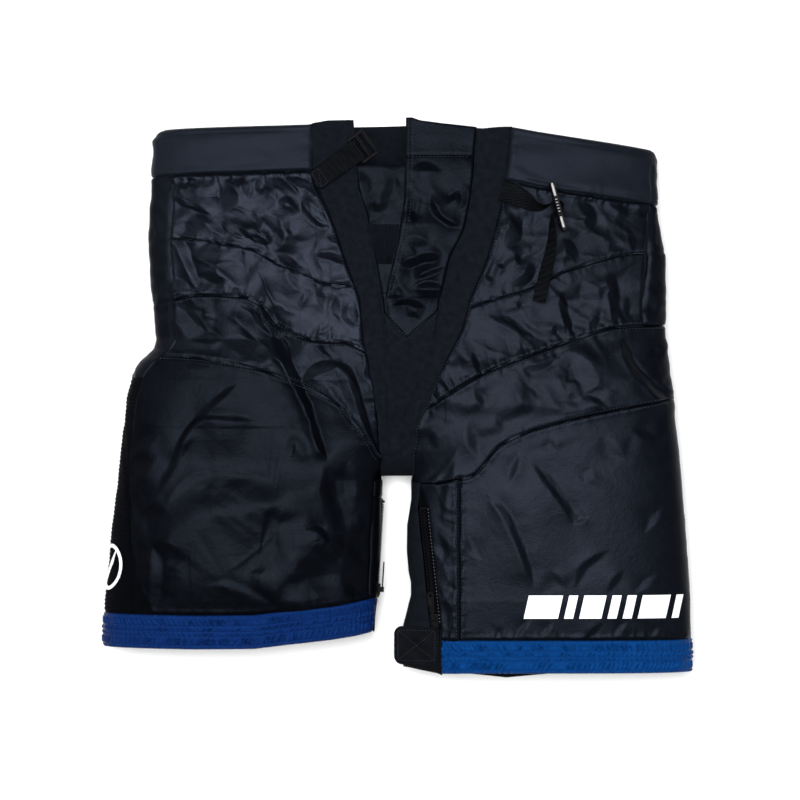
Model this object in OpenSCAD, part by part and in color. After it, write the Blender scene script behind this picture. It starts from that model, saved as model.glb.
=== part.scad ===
// Hockey pants laid flat on their back, waist away from the viewer.
// X runs across the pants, Y from the hems to the waist, Z up out of the front.
// "right" and "left" are the wearer's: the right leg lies at -X.

/* [Overall] */
// Height of the hips above the surface that the pants lie on
hip_height = 78; // [70:1:90]
// Height of the thighs, where the thigh guards stand behind the shell
thigh_height = 86; // [78:1:96]
// Thickness of the sewn shell: nylon, interlining and mesh lining
shell_t = 3; // [2:0.5:4]
// Gap left between neighbouring sewn panels
seam_gap = 0.8; // [0.6:0.1:1.5]

/* [Pads] */
// Thickness of the moulded plastic caps
cap_t = 2.5; // [2:0.5:3]
// Thickness of the foam behind a cap
foam_t = 9; // [6:1:11]
// Gap between the shell and the pads behind it
pad_gap = 3; // [2.5:0.5:3.5]

/* [Belt] */
// Width of the belt webbing
web_w = 21; // [20:0.5:22]
// Thickness of the belt webbing
web_t = 1.6; // [1.2:0.2:2]

/* [Zip and tab] */
// Width of the zip tape
tape_w = 11; // [9:1:12]
// Length of the hem tab
tab_l = 40; // [34:1:42]
// Width of the hem tab
tab_w = 38; // [32:1:38]

/* [Hidden] */
$fn = 32;

// Line across both hips where the legs bend up from the waist part.
hip_line = 60;
crotch_y = -80;
// Top of the closed tube of each leg, just below the crotch.
leg_top = crotch_y - 2;

// Silhouette of the waist part and of each leg, as [Y, X] stations from hem to waist.
right_side = [[-260, -294], [-120, -284], [-50, -277], [0, -273], [25, -268], [45, -260],
    [60, -252]];
hip_right_side = [[40, -245], [60, -247], [110, -250], [165, -251], [215, -246], [280, -245]];
hip_left_side = [[40, 266], [60, 266], [140, 266], [158, 262], [185, 259], [280, 258]];
left_side = [[-280, 294], [-200, 292.5], [-120, 287], [-50, 281], [0, 274], [60, 267]];
right_inner = [[-260, -26], [-200, -22], [-160, -18], [-80, -15], [-40, 0], [0, 45], [30, 130],
    [60, 266]];
left_inner = [[-280, 10], [-226, 10], [-200, 14], [-100, 17], [-80, 14], [-40, -5], [0, -45],
    [30, -130], [60, -250]];

// Top and bottom edges of the waistband, as [X, Y].
waist_top = [[-250, 268], [-85, 276], [20, 276], [115, 271], [258, 248]];
waist_low = [[-250, 221], [-85, 226], [106, 217], [157, 206], [259, 192]];
// Hem edges, as [X, Y].
hem_right = [[-295, -256], [-150, -259], [-25, -241]];
hem_left = [[10, -268], [43, -272], [292, -272]];
band_right = 39;
band_left = 33;
// Where the left band begins on the front of the leg, beside the zip.
band_left_start = 44;

// Edges of the two knitted stretch strips, as [Y, X].
strip_right_out = [[40, -33], [99, -38], [139, -53], [184, -68], [221, -85], [280, -85]];
strip_right_in = [[40, -10], [99, -17], [134, -23], [184, -33], [209, -41], [280, -46]];
strip_left_in = [[40, 34], [99, 43], [139, 52], [169, 67], [219, 75], [280, 80]];
strip_left_out = [[40, 52], [69, 64], [99, 72], [139, 89], [189, 102], [219, 107], [280, 115]];
// Free edge of the fly flap, as [Y, X].
fly_edge = [[80, -16], [109, -11], [154, 0], [199, 7], [280, 8]];
fly_low = 100;
// Edges of the crotch gusset, where each leg's panels begin, as [Y, X].
gusset_right = [[-80, -15], [-20, -18], [20, -24], [60, -33]];
gusset_left = [[-80, 13], [-31, 17], [-6, 27], [45, 51], [60, 58]];

// Top edge of each thigh guard, as [X, Y].
guard_top_right = [[-280, 44], [-200, 42], [-130, 28], [-60, -5], [-20, -60]];
guard_top_left = [[40, -84], [75, -75], [100, -46], [133, -30], [178, -18], [266, 0]];

// The two ends of each zip, from the hem up, and how far each is rolled outwards from flat.
zip_left_low = [38, -224, 73];
zip_left_high = [26, -110, 68];
zip_left_roll = -28;
zip_right_low = [-21.5, -196, 43];
zip_right_high = [-16, -104, 43];
zip_right_roll = 90;
// How far the fabric stands back from the middle of the right zip.
zip_room = 6;
// The edges of the fabric beside the left zip, which meet above it, as [Y, X].
zip_left_in = [[-240, 33.5], [-107, 20], [-86, 22.5]];
zip_left_out = [[-240, 45.5], [-107, 32], [-86, 23.5]];

// How square the section's corners are, and the share of its back that lies flat.
corner_p = 3;
back_flat = 0.7;

function lerp(a, b, t) = a + (b - a) * t;
function limit(v, lo, hi) = max(lo, min(hi, v));

// A tube is a function of Y that gives [left X, right X, height] of its flattened section.
function waist_tube() = function (y)
    [lookup(y, hip_right_side), lookup(y, hip_left_side),
     lookup(y, [[60, hip_height + 2], [150, hip_height], [270, hip_height - 10]])];
function leg_height(y) =
    lookup(y, [[-270, thigh_height - 11], [-200, thigh_height - 3], [-90, thigh_height],
        [20, thigh_height], [60, hip_height + 2]]);
function right_tube() = function (y)
    [lookup(y, right_side), lookup(y, right_inner), leg_height(y)];
function left_tube() = function (y)
    [lookup(y, left_inner), lookup(y, left_side), leg_height(y)];

// A point on a tube, d inside its skin. q runs round the section: 0 at the middle of the
// front, 1 at the right edge, 2 at the middle of the back and 3 or -1 at the left edge.
function skin(tube, q, y, d) =
    let (s = tube(y), m = s[2] / 2, w = (s[1] - s[0]) / 2 - d,
         back = q < -1 || (q > 1 && q < 3),
         u = sin(90 * q),
         v = back ? max(0, (abs(u) - back_flat) / (1 - back_flat)) : abs(u),
         rise = pow(max(0, 1 - pow(v, corner_p)), 1 / corner_p))
    [(s[0] + s[1]) / 2 + w * u, y, m + (back ? -1 : 1) * (m - d) * rise];

// The q of the front, or of the back, above a given X.
function front_q(tube, x, y) =
    let (s = tube(y)) asin(limit((2 * x - s[0] - s[1]) / (s[1] - s[0]), -1, 1)) / 90;
function back_q(tube, x, y) = 2 - front_q(tube, x, y);
// The q on the right-hand wall of a tube at a height z.
function wall_q(tube, y, z) =
    let (m = tube(y)[2] / 2, v = pow(1 - pow(abs(z - m) / m, corner_p), 1 / corner_p),
         turn = asin(z < m ? back_flat + (1 - back_flat) * v : v) / 90)
    z < m ? 2 - turn : turn;

// A closed slab between two surfaces, each a function of f and g from 0 to 1.
module slab(upper, lower, n, m) {
    count = (n + 1) * (m + 1);
    function at(i, j, k) = k * count + i * (m + 1) + j;
    points = [for (face_at = [upper, lower]) for (i = [0:n]) for (j = [0:m])
        face_at(i / n, j / m)];
    i_mid = floor(n / 2);
    j_mid = floor(m / 2);
    normal = cross(points[at(i_mid + 1, j_mid, 0)] - points[at(i_mid, j_mid, 0)],
        points[at(i_mid, j_mid + 1, 0)] - points[at(i_mid, j_mid, 0)]);
    out = points[at(i_mid, j_mid, 0)] - points[at(i_mid, j_mid, 1)];
    turned = normal * out > 0;
    function face(list) = turned ? [list[2], list[1], list[0]] : list;
    function quad(a, b, c, d) = [face([a, b, c]), face([a, c, d])];
    polyhedron(points, concat(
        [for (i = [0:n - 1]) for (j = [0:m - 1])
            each quad(at(i, j, 0), at(i + 1, j, 0), at(i + 1, j + 1, 0), at(i, j + 1, 0))],
        [for (i = [0:n - 1]) for (j = [0:m - 1])
            each quad(at(i, j, 1), at(i, j + 1, 1), at(i + 1, j + 1, 1), at(i + 1, j, 1))],
        [for (i = [0:n - 1])
            each quad(at(i, 0, 0), at(i, 0, 1), at(i + 1, 0, 1), at(i + 1, 0, 0))],
        [for (i = [0:n - 1])
            each quad(at(i, m, 0), at(i + 1, m, 0), at(i + 1, m, 1), at(i, m, 1))],
        [for (j = [0:m - 1])
            each quad(at(0, j, 0), at(0, j + 1, 0), at(0, j + 1, 1), at(0, j, 1))],
        [for (j = [0:m - 1])
            each quad(at(n, j, 0), at(n, j, 1), at(n, j + 1, 1), at(n, j + 1, 0))]),
        convexity = 6);
}

// A panel of a tube from q_from(y) to q_to(y) and y_from(x) to y_to(x), between the depths
// d_out and d_in under the skin.
module panel(tube, q_from, q_to, y_from, y_to, d_out, d_in, n = 12, m = 7) {
    function spot(f, g, d) =
        let (y_guess = (y_from(0) + y_to(0)) / 2,
             x_first = skin(tube, lerp(q_from(y_guess), q_to(y_guess), f), y_guess, d)[0],
             y_first = lerp(y_from(x_first), y_to(x_first), g),
             x_next = skin(tube, lerp(q_from(y_first), q_to(y_first), f), y_first, d)[0],
             y = lerp(y_from(x_next), y_to(x_next), g))
        skin(tube, lerp(q_from(y), q_to(y), f), y, d);
    slab(function (f, g) spot(f, g, d_out), function (f, g) spot(f, g, d_in), n, m);
}

function along(table, shift = 0) = function (v) lookup(v, table) + shift;
function level(v) = function (u) v;

// A front panel between two edges given as [Y, X] tables.
module front_panel(tube, left, right, y_from, y_to, d_out, d_in, n = 12, m = 7,
        inset = seam_gap / 2) {
    panel(tube, function (y) front_q(tube, left(y) + inset, y),
        function (y) front_q(tube, right(y) - inset, y), y_from, y_to, d_out, d_in, n, m);
}

// A back panel between two edges.
module back_panel(tube, left, right, y_from, y_to, d_out, d_in, n = 12, m = 7,
        inset = seam_gap / 2) {
    panel(tube, function (y) back_q(tube, right(y) - inset, y),
        function (y) back_q(tube, left(y) + inset, y), y_from, y_to, d_out, d_in, n, m);
}

nylon = [0.10, 0.11, 0.14];
knit = [0.08, 0.09, 0.11];
net = [0.03, 0.03, 0.035];
blue = [0.02, 0.24, 0.52];
foam = [0.22, 0.23, 0.25];
cap = [0.80, 0.81, 0.82];
webbing = [0.07, 0.07, 0.08];
moulded = [0.02, 0.02, 0.02];

waist = waist_tube();
right_leg = right_tube();
left_leg = left_tube();
seam = seam_gap / 2;

// Distance in q from a side edge to the seams between side, front and back panels.
hip_side_q = 0.28;
leg_side_q = 0.24;
inner_q = 0.22;
// A seam's gap, in q.
seam_q = 0.004;

// ---- Waist part ----

module waistband_right()
    color(nylon) panel(waist, level(-1), function (y) front_q(waist, lookup(y, strip_right_out) - seam, y),
        along(waist_low, seam), along(waist_top), -0.5, shell_t, 14, 3);

module waistband_left()
    color(nylon) panel(waist, function (y) front_q(waist, lookup(y, strip_left_out) + seam, y), level(1),
        along(waist_low, seam), along(waist_top), -0.5, shell_t, 12, 3);

module waistband_back()
    color(nylon) panel(waist, level(1.004), level(2.996),
        along(waist_low, seam), along(waist_top), 0, shell_t, 24, 3);

module hip_panel_right()
    color(nylon) panel(waist, level(-1 + hip_side_q),
        function (y) front_q(waist, lookup(y, strip_right_out) - seam, y),
        level(hip_line + seam), along(waist_low, -seam), 0, shell_t, 10, 8);

module hip_panel_left()
    color(nylon) panel(waist, function (y) front_q(waist, lookup(y, strip_left_out) + seam, y),
        level(1 - hip_side_q), level(hip_line + seam), along(waist_low, -seam), 0, shell_t, 10, 8);

module hip_side(from, to)
    color(nylon) panel(waist, level(from), level(to),
        level(hip_line + seam), along(waist_low, -seam), 0, shell_t, 10, 5);

module seat_panel(from, to)
    color(nylon) panel(waist, level(from), level(to), level(hip_line + seam),
        along(waist_low, -seam), 0, shell_t, 10, 5);

module stretch_strip(left, right)
    color(knit) front_panel(waist, along(left), along(right), level(hip_line + seam),
        along(waist_top, 3), 0, shell_t, 4, 12);

// The under half of the fly, visible between the right strip and the flap.
module fly_underlap()
    color(nylon) front_panel(waist, along(strip_right_in), along(fly_edge, 34),
        level(hip_line + seam), level(232), 1.8, 1.8 + shell_t, 6, 10);

// Ribbed elastic set into the underlap beside the flap.
module fly_elastic()
    color(knit) front_panel(waist, along([[134, -20], [173, -31]]), along(fly_edge, -1.5),
        level(134), level(173), -0.4, 1.5, 4, 4);

// The over half of the fly, hinged along the left strip.
module fly_flap()
    color(nylon) front_panel(waist, along(fly_edge), along(strip_left_in, -1),
        level(fly_low), along(waist_top, 2), -1.5, 1.2, 6, 10);

// How far the gusset's front half dips towards the crotch seam, as [Y, depth].
crotch_dip = [[-80, 17], [-70, 6], [-60, 1], [-50, 0]];
// Height of the gusset's back half, which rises to the crotch seam, as [Y, Z].
crotch_rise = [[-80, 29], [-70, 18], [-60, 9], [-40, 2], [-10, 0.2], [60, 0.2]];

// Knitted gusset that fills the crotch.
module crotch_gusset_front() {
    function top(x, y, d) =
        let (xa = lookup(y, gusset_right), xb = lookup(y, gusset_left), t = (x - xa) / (xb - xa))
        lerp(skin(right_leg, front_q(right_leg, xa, y), y, d)[2],
            skin(left_leg, front_q(left_leg, xb, y), y, d)[2], t) - lookup(y, crotch_dip);
    function spot(f, g, d) =
        let (y = lerp(crotch_y + 3, hip_line - seam, g),
             x = lerp(lookup(y, gusset_right) + seam, lookup(y, gusset_left) - seam, f))
        [x, y, top(x, y, d)];
    color(knit) slab(function (f, g) spot(f, g, 0), function (f, g) spot(f, g, shell_t), 6, 12);
    // its upper end, which laps over the foot of the fly between the two strips
    color(knit) front_panel(waist, along(strip_right_in, 1), along(strip_left_in, -1),
        level(hip_line + seam), level(fly_low - seam), -0.6, 1.2, 4, 4);
}

// Back half of the gusset, rising from the seat to the crotch seam.
module crotch_gusset_back() {
    function spot(f, g, d) =
        let (y = lerp(crotch_y + 3, hip_line - seam, g),
             x = lerp(lookup(y, gusset_right) + seam, lookup(y, gusset_left) - seam, f))
        [x, y, lookup(y, crotch_rise) + d];
    color(knit) slab(function (f, g) spot(f, g, shell_t), function (f, g) spot(f, g, 0), 4, 12);
}

// ---- Pads inside the waist part ----

pad_out = shell_t + pad_gap;

module kidney_pad(x_from, x_to)
    color(foam) back_panel(waist, level(x_from), level(x_to), level(110), along(waist_low, 24),
        pad_out, pad_out + foam_t + 3, 8, 6);

module tailbone_pad()
    color(foam) back_panel(waist, level(-38), along([[66, 20], [110, 40], [240, 40]]),
        level(66), level(228), pad_out + cap_t + 0.5, pad_out + cap_t + foam_t, 6, 7);

module tailbone_cap()
    color(cap) back_panel(waist, level(-30), along([[72, 14], [110, 32], [240, 32]]),
        level(74), level(218), pad_out, pad_out + cap_t, 6, 7);

module hip_pad(from, to)
    color(foam) panel(waist, level(from), level(to), level(68), along(waist_low, -12),
        pad_out + cap_t + 0.5, pad_out + cap_t + foam_t, 14, 5);

module hip_cap(from, to)
    color(cap) panel(waist, level(from), level(to), level(76), along(waist_low, -22),
        pad_out, pad_out + cap_t, 12, 5);

// ---- Legs ----

module thigh_yoke_right()
    color(nylon) panel(right_leg, level(-1 + leg_side_q),
        function (y) front_q(right_leg, lookup(y, gusset_right) - seam, y),
        along(guard_top_right, seam), level(hip_line - seam), 0, shell_t, 12, 5);

module thigh_yoke_left() {
    color(nylon) panel(left_leg,
        function (y) front_q(left_leg, lookup(y, gusset_left) + seam, y),
        level(1 - leg_side_q), along(guard_top_left, seam), level(hip_line - seam),
        0, shell_t, 12, 5);
    // the yoke's tail, which runs down between the zip and the thigh panel
    color(nylon) panel(left_leg,
        function (y) front_q(left_leg, lookup(y, zip_left_out), y),
        function (y) front_q(left_leg, 61 - seam, y),
        along(hem_left, band_left + seam), function (x) lookup(x, guard_top_left) - 1.5,
        0, shell_t, 5, 7);
}

module thigh_panel_right()
    color(nylon) panel(right_leg, level(-1 + leg_side_q), level(1 - inner_q),
        along(hem_right, band_right + seam), along(guard_top_right, -seam), 0, shell_t, 12, 9);

module thigh_panel_left()
    color(nylon) panel(left_leg, function (y) front_q(left_leg, 61 + seam, y),
        level(1 - leg_side_q), along(hem_left, band_left + seam), along(guard_top_left, -seam),
        0, shell_t, 12, 9);

module leg_side(tube, side, hem, band)
    color(net) panel(tube, level(side - leg_side_q + seam_q), level(side + leg_side_q - seam_q),
        along(hem, band + seam), level(hip_line - seam), 0, shell_t, 12, 8);

module leg_back_right() {
    color(nylon) panel(right_leg,
        function (y) back_q(right_leg, lookup(y, gusset_right) - seam, y),
        level(3 - leg_side_q), level(leg_top + seam_gap), level(hip_line - seam),
        0, shell_t, 12, 5);
    color(nylon) panel(right_leg, level(1 + inner_q), level(3 - leg_side_q),
        along(hem_right, band_right + seam), level(leg_top), 0, shell_t, 12, 6);
}

module leg_back_left() {
    color(nylon) panel(left_leg, level(1 + leg_side_q),
        function (y) back_q(left_leg, lookup(y, gusset_left) + seam, y),
        level(leg_top + seam_gap), level(hip_line - seam), 0, shell_t, 12, 5);
    color(nylon) panel(left_leg, level(1 + leg_side_q), level(3 - inner_q),
        along(hem_left, band_left + seam), level(leg_top - 4), 0, shell_t, 12, 7);
}

// The inner side of each leg, open along the zip.
module inner_leg_right() {
    zip_top = zip_right_high[1] + 6;
    color(knit) panel(right_leg, level(1 - inner_q + seam_q),
        function (y) wall_q(right_leg, y, zip_right_low[2] + zip_room),
        along(hem_right, band_right + seam), level(zip_top), 0, shell_t, 5, 6);
    color(knit) panel(right_leg, function (y) wall_q(right_leg, y, zip_right_low[2] - zip_room),
        level(1 + inner_q - seam_q),
        along(hem_right, band_right + seam), level(zip_top), 0, shell_t, 5, 6);
    color(knit) panel(right_leg, level(1 - inner_q + seam_q), level(1 + inner_q - seam_q),
        level(zip_top + seam_gap), level(leg_top), 0, shell_t, 10, 2);
}

module inner_leg_left()
    color(knit) panel(left_leg, level(3 - inner_q + seam_q),
        function (y) 4 + front_q(left_leg, lookup(y, zip_left_in), y),
        along(hem_left, band_left + seam), level(leg_top - 4), 0, shell_t, 12, 7);

// The blue band round each hem, from the inner front seam over the outer side.
module hem_band_right()
    color(blue) panel(right_leg, level(-1.3), level(0.89), along(hem_right),
        along(hem_right, band_right - seam), -0.8, shell_t - 0.6, 22, 2);

module hem_band_left()
    color(blue) panel(left_leg, function (y) front_q(left_leg, band_left_start, y), level(1.3),
        along(hem_left), along(hem_left, band_left - seam), -0.8, shell_t - 0.6, 22, 2);

// Black facing that finishes the back and the inner side of each hem.
module hem_facing_right()
    color(webbing) panel(right_leg, level(0.896), level(2.692), along(hem_right, 1),
        along(hem_right, band_right - seam), 0, shell_t - 0.6, 20, 2);

module hem_facing_left()
    color(webbing) panel(left_leg, level(1.308),
        function (y) 4 + front_q(left_leg, band_left_start - seam_gap, y), along(hem_left, -7),
        along(hem_left, band_left - seam), 0, shell_t - 0.6, 22, 2);

// ---- Thigh guards ----

// Share of each thigh's half width that the guard covers, as a q.
guard_q = 0.5;

module thigh_foam(tube, top, hem, band)
    color(foam) panel(tube, level(-guard_q), level(guard_q), along(hem, band - 12),
        along(top, -12), pad_out + cap_t + 0.5, pad_out + cap_t + foam_t, 14, 6);

module thigh_cap(tube, top, hem, band)
    color(cap) panel(tube, level(0.06 - guard_q), level(guard_q - 0.06), along(hem, band + 4),
        along(top, -22), pad_out, pad_out + cap_t, 14, 9);

// ---- Zips ----

// Places something that lies along +Y, face up, on a line from low to high.
module along_zip(low, high, roll) {
    run = high - low;
    translate(low) rotate([0, 0, atan2(-run[0], run[1])])
        rotate([atan2(run[2], norm([run[0], run[1]])), 0, 0]) rotate([0, roll, 0]) children();
}

module on_left_zip() along_zip(zip_left_low, zip_left_high, zip_left_roll) children();
module on_right_zip() along_zip(zip_right_low, zip_right_high, zip_right_roll) children();

tape_t = 1;
chain_w = 4;
chain_t = 1.5;
stop_l = 2.5;
module zip(length) {
    color(webbing) translate([-tape_w / 2, -4, -tape_t / 2]) cube([tape_w, length + 8, tape_t]);
    color(moulded) translate([-chain_w / 2, 0, tape_t / 2]) cube([chain_w, length, chain_t]);
    for (y = [-stop_l, length])
        color(moulded) translate([-3, y, tape_t / 2]) cube([6, stop_l, 2.4]);
}

slider_w = 8;
slider_l = 11;
slider_h = 2.6;
slider_clear = 0.4;
slider_z = tape_t / 2 + slider_clear;
ear_t = 1.2;
ear_gap = 3;
// Where the pull's pin crosses the slider, as [Y, Z].
pin_at = [5.5, slider_z + slider_h + 1.9];
pin_r = 0.7;
pin_clear = 0.1;
module zip_slider() {
    color(moulded) difference() {
        translate([-slider_w / 2, 0, slider_z]) cube([slider_w, slider_l, slider_h]);
        translate([-chain_w / 2 - slider_clear, -1, slider_z - 1])
            cube([chain_w + 2 * slider_clear, slider_l + 2, 1 + chain_t]);
    }
    // the two ears that hold the pull's pin
    for (x = [-ear_gap / 2 - ear_t, ear_gap / 2])
        color(moulded) difference() {
            translate([x, pin_at[0] - 2.5, slider_z + slider_h]) cube([ear_t, 5, 3.6]);
            translate([x - 1, pin_at[0], pin_at[1]]) rotate([0, 90, 0])
                cylinder(r = pin_r + pin_clear, h = ear_t + 2);
        }
}

// The pull: a pin through the ears and a flat tongue that lies back over the chain.
tongue_t = 1.4;
tongue_l = 24;
module zip_pull() {
    pin_l = ear_gap + 2 * ear_t + 0.6;
    translate([0, pin_at[0], pin_at[1]]) {
        color(moulded) rotate([0, 90, 0]) translate([0, 0, -pin_l / 2])
            cylinder(r = pin_r, h = pin_l);
        color(moulded) translate([-1.1, 0, -0.6]) cube([2.2, 9, 1.2]);
        color(moulded) difference() {
            hull()
                for (end = [[9.5, 2.8], [tongue_l, 3.6]])
                    translate([0, end[0], -tongue_t / 2]) cylinder(r = end[1], h = tongue_t);
            translate([0, tongue_l, -tongue_t]) cylinder(r = 1.6, h = 2 * tongue_t);
        }
    }
}

// ---- Hem tabs ----

// Where each tab is sewn on, and how far the left one slopes down to its free end.
tab_left_at = [41, -248, 72.2];
tab_left_slope = 15;
tab_right_at = [-18.4, -221, 56];
tab_t = 2.4;

// A tab sewn along the Y axis, running along -X to a rounded free end.
module hem_tab() {
    r = 8;
    color(webbing) linear_extrude(tab_t) hull() {
        translate([-tab_l + r, r - tab_w / 2]) circle(r);
        translate([-tab_l + r, tab_w / 2 - r]) circle(r);
        translate([-1, -tab_w / 2]) square([1, tab_w]);
    }
}

// ---- Belt ----

// The right belt loop starts here, turned this far from +X.
loop_at = [-81.5, 216.5, 76];
loop_yaw = 36;
loop_l = 50;
// The buckle's end bar, the webbing's turn round it and half the space between its two layers.
bar_r = 1.2;
turn_r = bar_r + 0.15;

module on_loop() translate(loop_at) rotate([0, 0, loop_yaw]) children();

// Webbing doubled round the buckle's end bar, lying along +X about the bar's height.
module belt_loop_right() on_loop() color(webbing) {
    for (z = [turn_r, -turn_r - web_t])
        translate([0, -web_w / 2, z]) cube([loop_l, web_w, web_t]);
    // the sewn fold at the anchored end
    translate([-1, -web_w / 2, -turn_r - web_t]) cube([9, web_w, 2 * (turn_r + web_t)]);
    // the turn round the bar
    translate([loop_l, web_w / 2, 0]) rotate([90, 0, 0]) difference() {
        cylinder(r = turn_r + web_t, h = web_w);
        translate([0, 0, -1]) cylinder(r = turn_r, h = web_w + 2);
        translate([-10, -10, -1]) cube([10, 20, web_w + 2]);
    }
}

// A ladder frame: an end bar inside the loop, two thicker bars and a rail at each side.
buckle_w = web_w + 8;
rail_t = 2.8;
rail_h = 3.8;
bar_step = 7.5;
module buckle_right() on_loop() translate([loop_l, 0, 0]) color(moulded) {
    for (i = [0:2])
        translate([i * bar_step, buckle_w / 2, 0]) rotate([90, 0, 0])
            cylinder(r = i == 0 ? bar_r : rail_h / 2, h = buckle_w);
    for (y = [-buckle_w / 2, buckle_w / 2 - rail_t])
        translate([-2.4, y, -rail_h / 2]) cube([2 * bar_step + 5, rail_t, rail_h]);
}

// The left buckle: a ladder plate that stands on its long edge, turned this far from +X.
plate_at = [157.5, 190, 88.4];
plate_yaw = -75;
plate_l = 46;
plate_h = 27;
plate_t = 4.5;
slot_w = 4.6;
slot_step = 4.5;

module buckle_left() translate(plate_at) rotate([0, 0, plate_yaw]) color(moulded) difference() {
    union() {
        translate([-plate_l / 2, -plate_t / 2, -plate_h / 2]) cube([plate_l, plate_t, plate_h]);
        for (x = [-plate_l / 2, plate_l / 2])
            translate([x, 0, -plate_h / 2]) cylinder(r = plate_t / 2, h = plate_h);
    }
    slot_h = web_w + 1.6;
    for (x = [-slot_step, slot_step])
        translate([x - slot_w / 2, -plate_t, -slot_h / 2]) cube([slot_w, 2 * plate_t, slot_h]);
    // the narrow slot at the hook's end
    translate([13, -plate_t, -slot_h / 2]) cube([3.6, 2 * plate_t, slot_h]);
}

// A point beside the plate: s along it and n out from it.
function by_plate(s, n) = plate_at + [s * cos(plate_yaw) - n * sin(plate_yaw),
    s * sin(plate_yaw) + n * cos(plate_yaw), 0];

// The left strap's centre line and its tilt from flat in degrees: out of the waistband, on
// edge through the plate and round its middle bar, then down as a free tail.
strap_route = concat(
    [[[104, 206, 75], 0], [[112, 205.5, 75.6], 4], [[118, 205, 77.4], 16], [[125, 203.5, 80.4], 34],
     [[132, 201, 84], 54], [[139, 198, 86.8], 74], [[146, 195.8, 88.2], 87]],
    [for (spot = [[-slot_step, -3], [-slot_step, 2], [-3.4, 4.6], [0, 5.8], [3.4, 4.6],
        [slot_step, 2], [slot_step, -3], [6.5, -7.5]])
        [by_plate(spot[0], spot[1]), 90]],
    [[[152.5, 172, 88.4], 90], [[152, 156, 88.4], 86], [[149.5, 140, 88.4], 80],
     [[145.5, 124, 88.2], 72], [[141.5, 108, 88], 62], [[139, 96, 87.8], 55]]);

// A ribbon swept along the route, its width turned about the route by each point's tilt.
module belt_strap_left() {
    last = len(strap_route) - 1;
    function run(i) =
        let (step = strap_route[min(last, i + 1)][0] - strap_route[max(0, i - 1)][0])
        step / norm(step);
    function side(i) =
        let (flat = cross([0, 0, 1], run(i)), across = flat / norm(flat),
             tilt = strap_route[i][1])
        across * cos(tilt) + cross(run(i), across) * sin(tilt);
    function corner(f, g, k) =
        let (i = round(f * last))
        strap_route[i][0] + side(i) * (g - 0.5) * web_w + cross(run(i), side(i)) * k * web_t / 2;
    color(webbing) slab(function (f, g) corner(f, g, 1), function (f, g) corner(f, g, -1),
        last, 2);
}

// ---- Every node ----

waistband_right();
waistband_left();
waistband_back();
hip_panel_right();
hip_panel_left();
hip_side(-1 - hip_side_q + seam_q, -1 + hip_side_q - seam_q);  // hip_side_right
hip_side(1 - hip_side_q + seam_q, 1 + hip_side_q - seam_q);  // hip_side_left
stretch_strip(strip_right_out, strip_right_in);  // stretch_strip_right
stretch_strip(strip_left_in, strip_left_out);  // stretch_strip_left
fly_underlap();
fly_elastic();
fly_flap();
crotch_gusset_front();
crotch_gusset_back();
seat_panel(2 + seam_q, 3 - hip_side_q);  // seat_panel_right
seat_panel(1 + hip_side_q, 2 - seam_q);  // seat_panel_left
kidney_pad(-172, -50);  // kidney_pad_right
kidney_pad(50, 172);  // kidney_pad_left
tailbone_pad();
tailbone_cap();
hip_pad(-1.3, -0.56);  // hip_pad_right
hip_pad(0.56, 1.3);  // hip_pad_left
hip_cap(-1.24, -0.62);  // hip_cap_right
hip_cap(0.62, 1.24);  // hip_cap_left
belt_loop_right();
buckle_right();
belt_strap_left();
buckle_left();
thigh_yoke_right();
thigh_yoke_left();
thigh_panel_right();
thigh_panel_left();
leg_side(right_leg, -1, hem_right, band_right);  // leg_side_right
leg_side(left_leg, 1, hem_left, band_left);  // leg_side_left
leg_back_right();
leg_back_left();
inner_leg_right();
inner_leg_left();
hem_band_right();
hem_band_left();
hem_facing_right();
hem_facing_left();
thigh_foam(right_leg, guard_top_right, hem_right, band_right);  // thigh_foam_right
thigh_foam(left_leg, guard_top_left, hem_left, band_left);  // thigh_foam_left
thigh_cap(right_leg, guard_top_right, hem_right, band_right);  // thigh_cap_right
thigh_cap(left_leg, guard_top_left, hem_left, band_left);  // thigh_cap_left
on_right_zip() zip(norm(zip_right_high - zip_right_low));  // zip_right
on_left_zip() zip(norm(zip_left_high - zip_left_low));  // zip_left
on_right_zip() zip_slider();  // zip_slider_right
on_left_zip() zip_slider();  // zip_slider_left
on_right_zip() zip_pull();  // zip_pull_right
on_left_zip() zip_pull();  // zip_pull_left
translate(tab_right_at) rotate([0, -90, 0]) hem_tab();  // hem_tab_right
translate(tab_left_at) rotate([0, -tab_left_slope, 0]) hem_tab();  // hem_tab_left
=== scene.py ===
"""Looks of the hockey pants: sewn nylon shell, knitted strips, quilted hems, belts, zips and pads."""

import math

import bpy
import numpy as np
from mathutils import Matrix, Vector


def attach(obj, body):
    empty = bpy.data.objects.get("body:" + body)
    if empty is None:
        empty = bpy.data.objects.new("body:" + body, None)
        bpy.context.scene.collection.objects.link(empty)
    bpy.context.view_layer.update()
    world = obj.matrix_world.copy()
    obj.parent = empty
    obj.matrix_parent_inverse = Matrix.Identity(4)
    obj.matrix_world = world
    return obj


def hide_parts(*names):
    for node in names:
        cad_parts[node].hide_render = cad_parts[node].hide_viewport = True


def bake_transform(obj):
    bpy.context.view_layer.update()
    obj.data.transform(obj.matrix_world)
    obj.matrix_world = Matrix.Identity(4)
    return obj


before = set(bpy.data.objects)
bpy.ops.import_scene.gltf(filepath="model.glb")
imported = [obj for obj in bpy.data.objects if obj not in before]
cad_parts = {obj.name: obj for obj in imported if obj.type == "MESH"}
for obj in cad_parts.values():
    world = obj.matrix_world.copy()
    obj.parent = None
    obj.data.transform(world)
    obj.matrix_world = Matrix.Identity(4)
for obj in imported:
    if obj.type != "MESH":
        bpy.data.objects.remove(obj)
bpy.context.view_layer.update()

MM = 0.001

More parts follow.
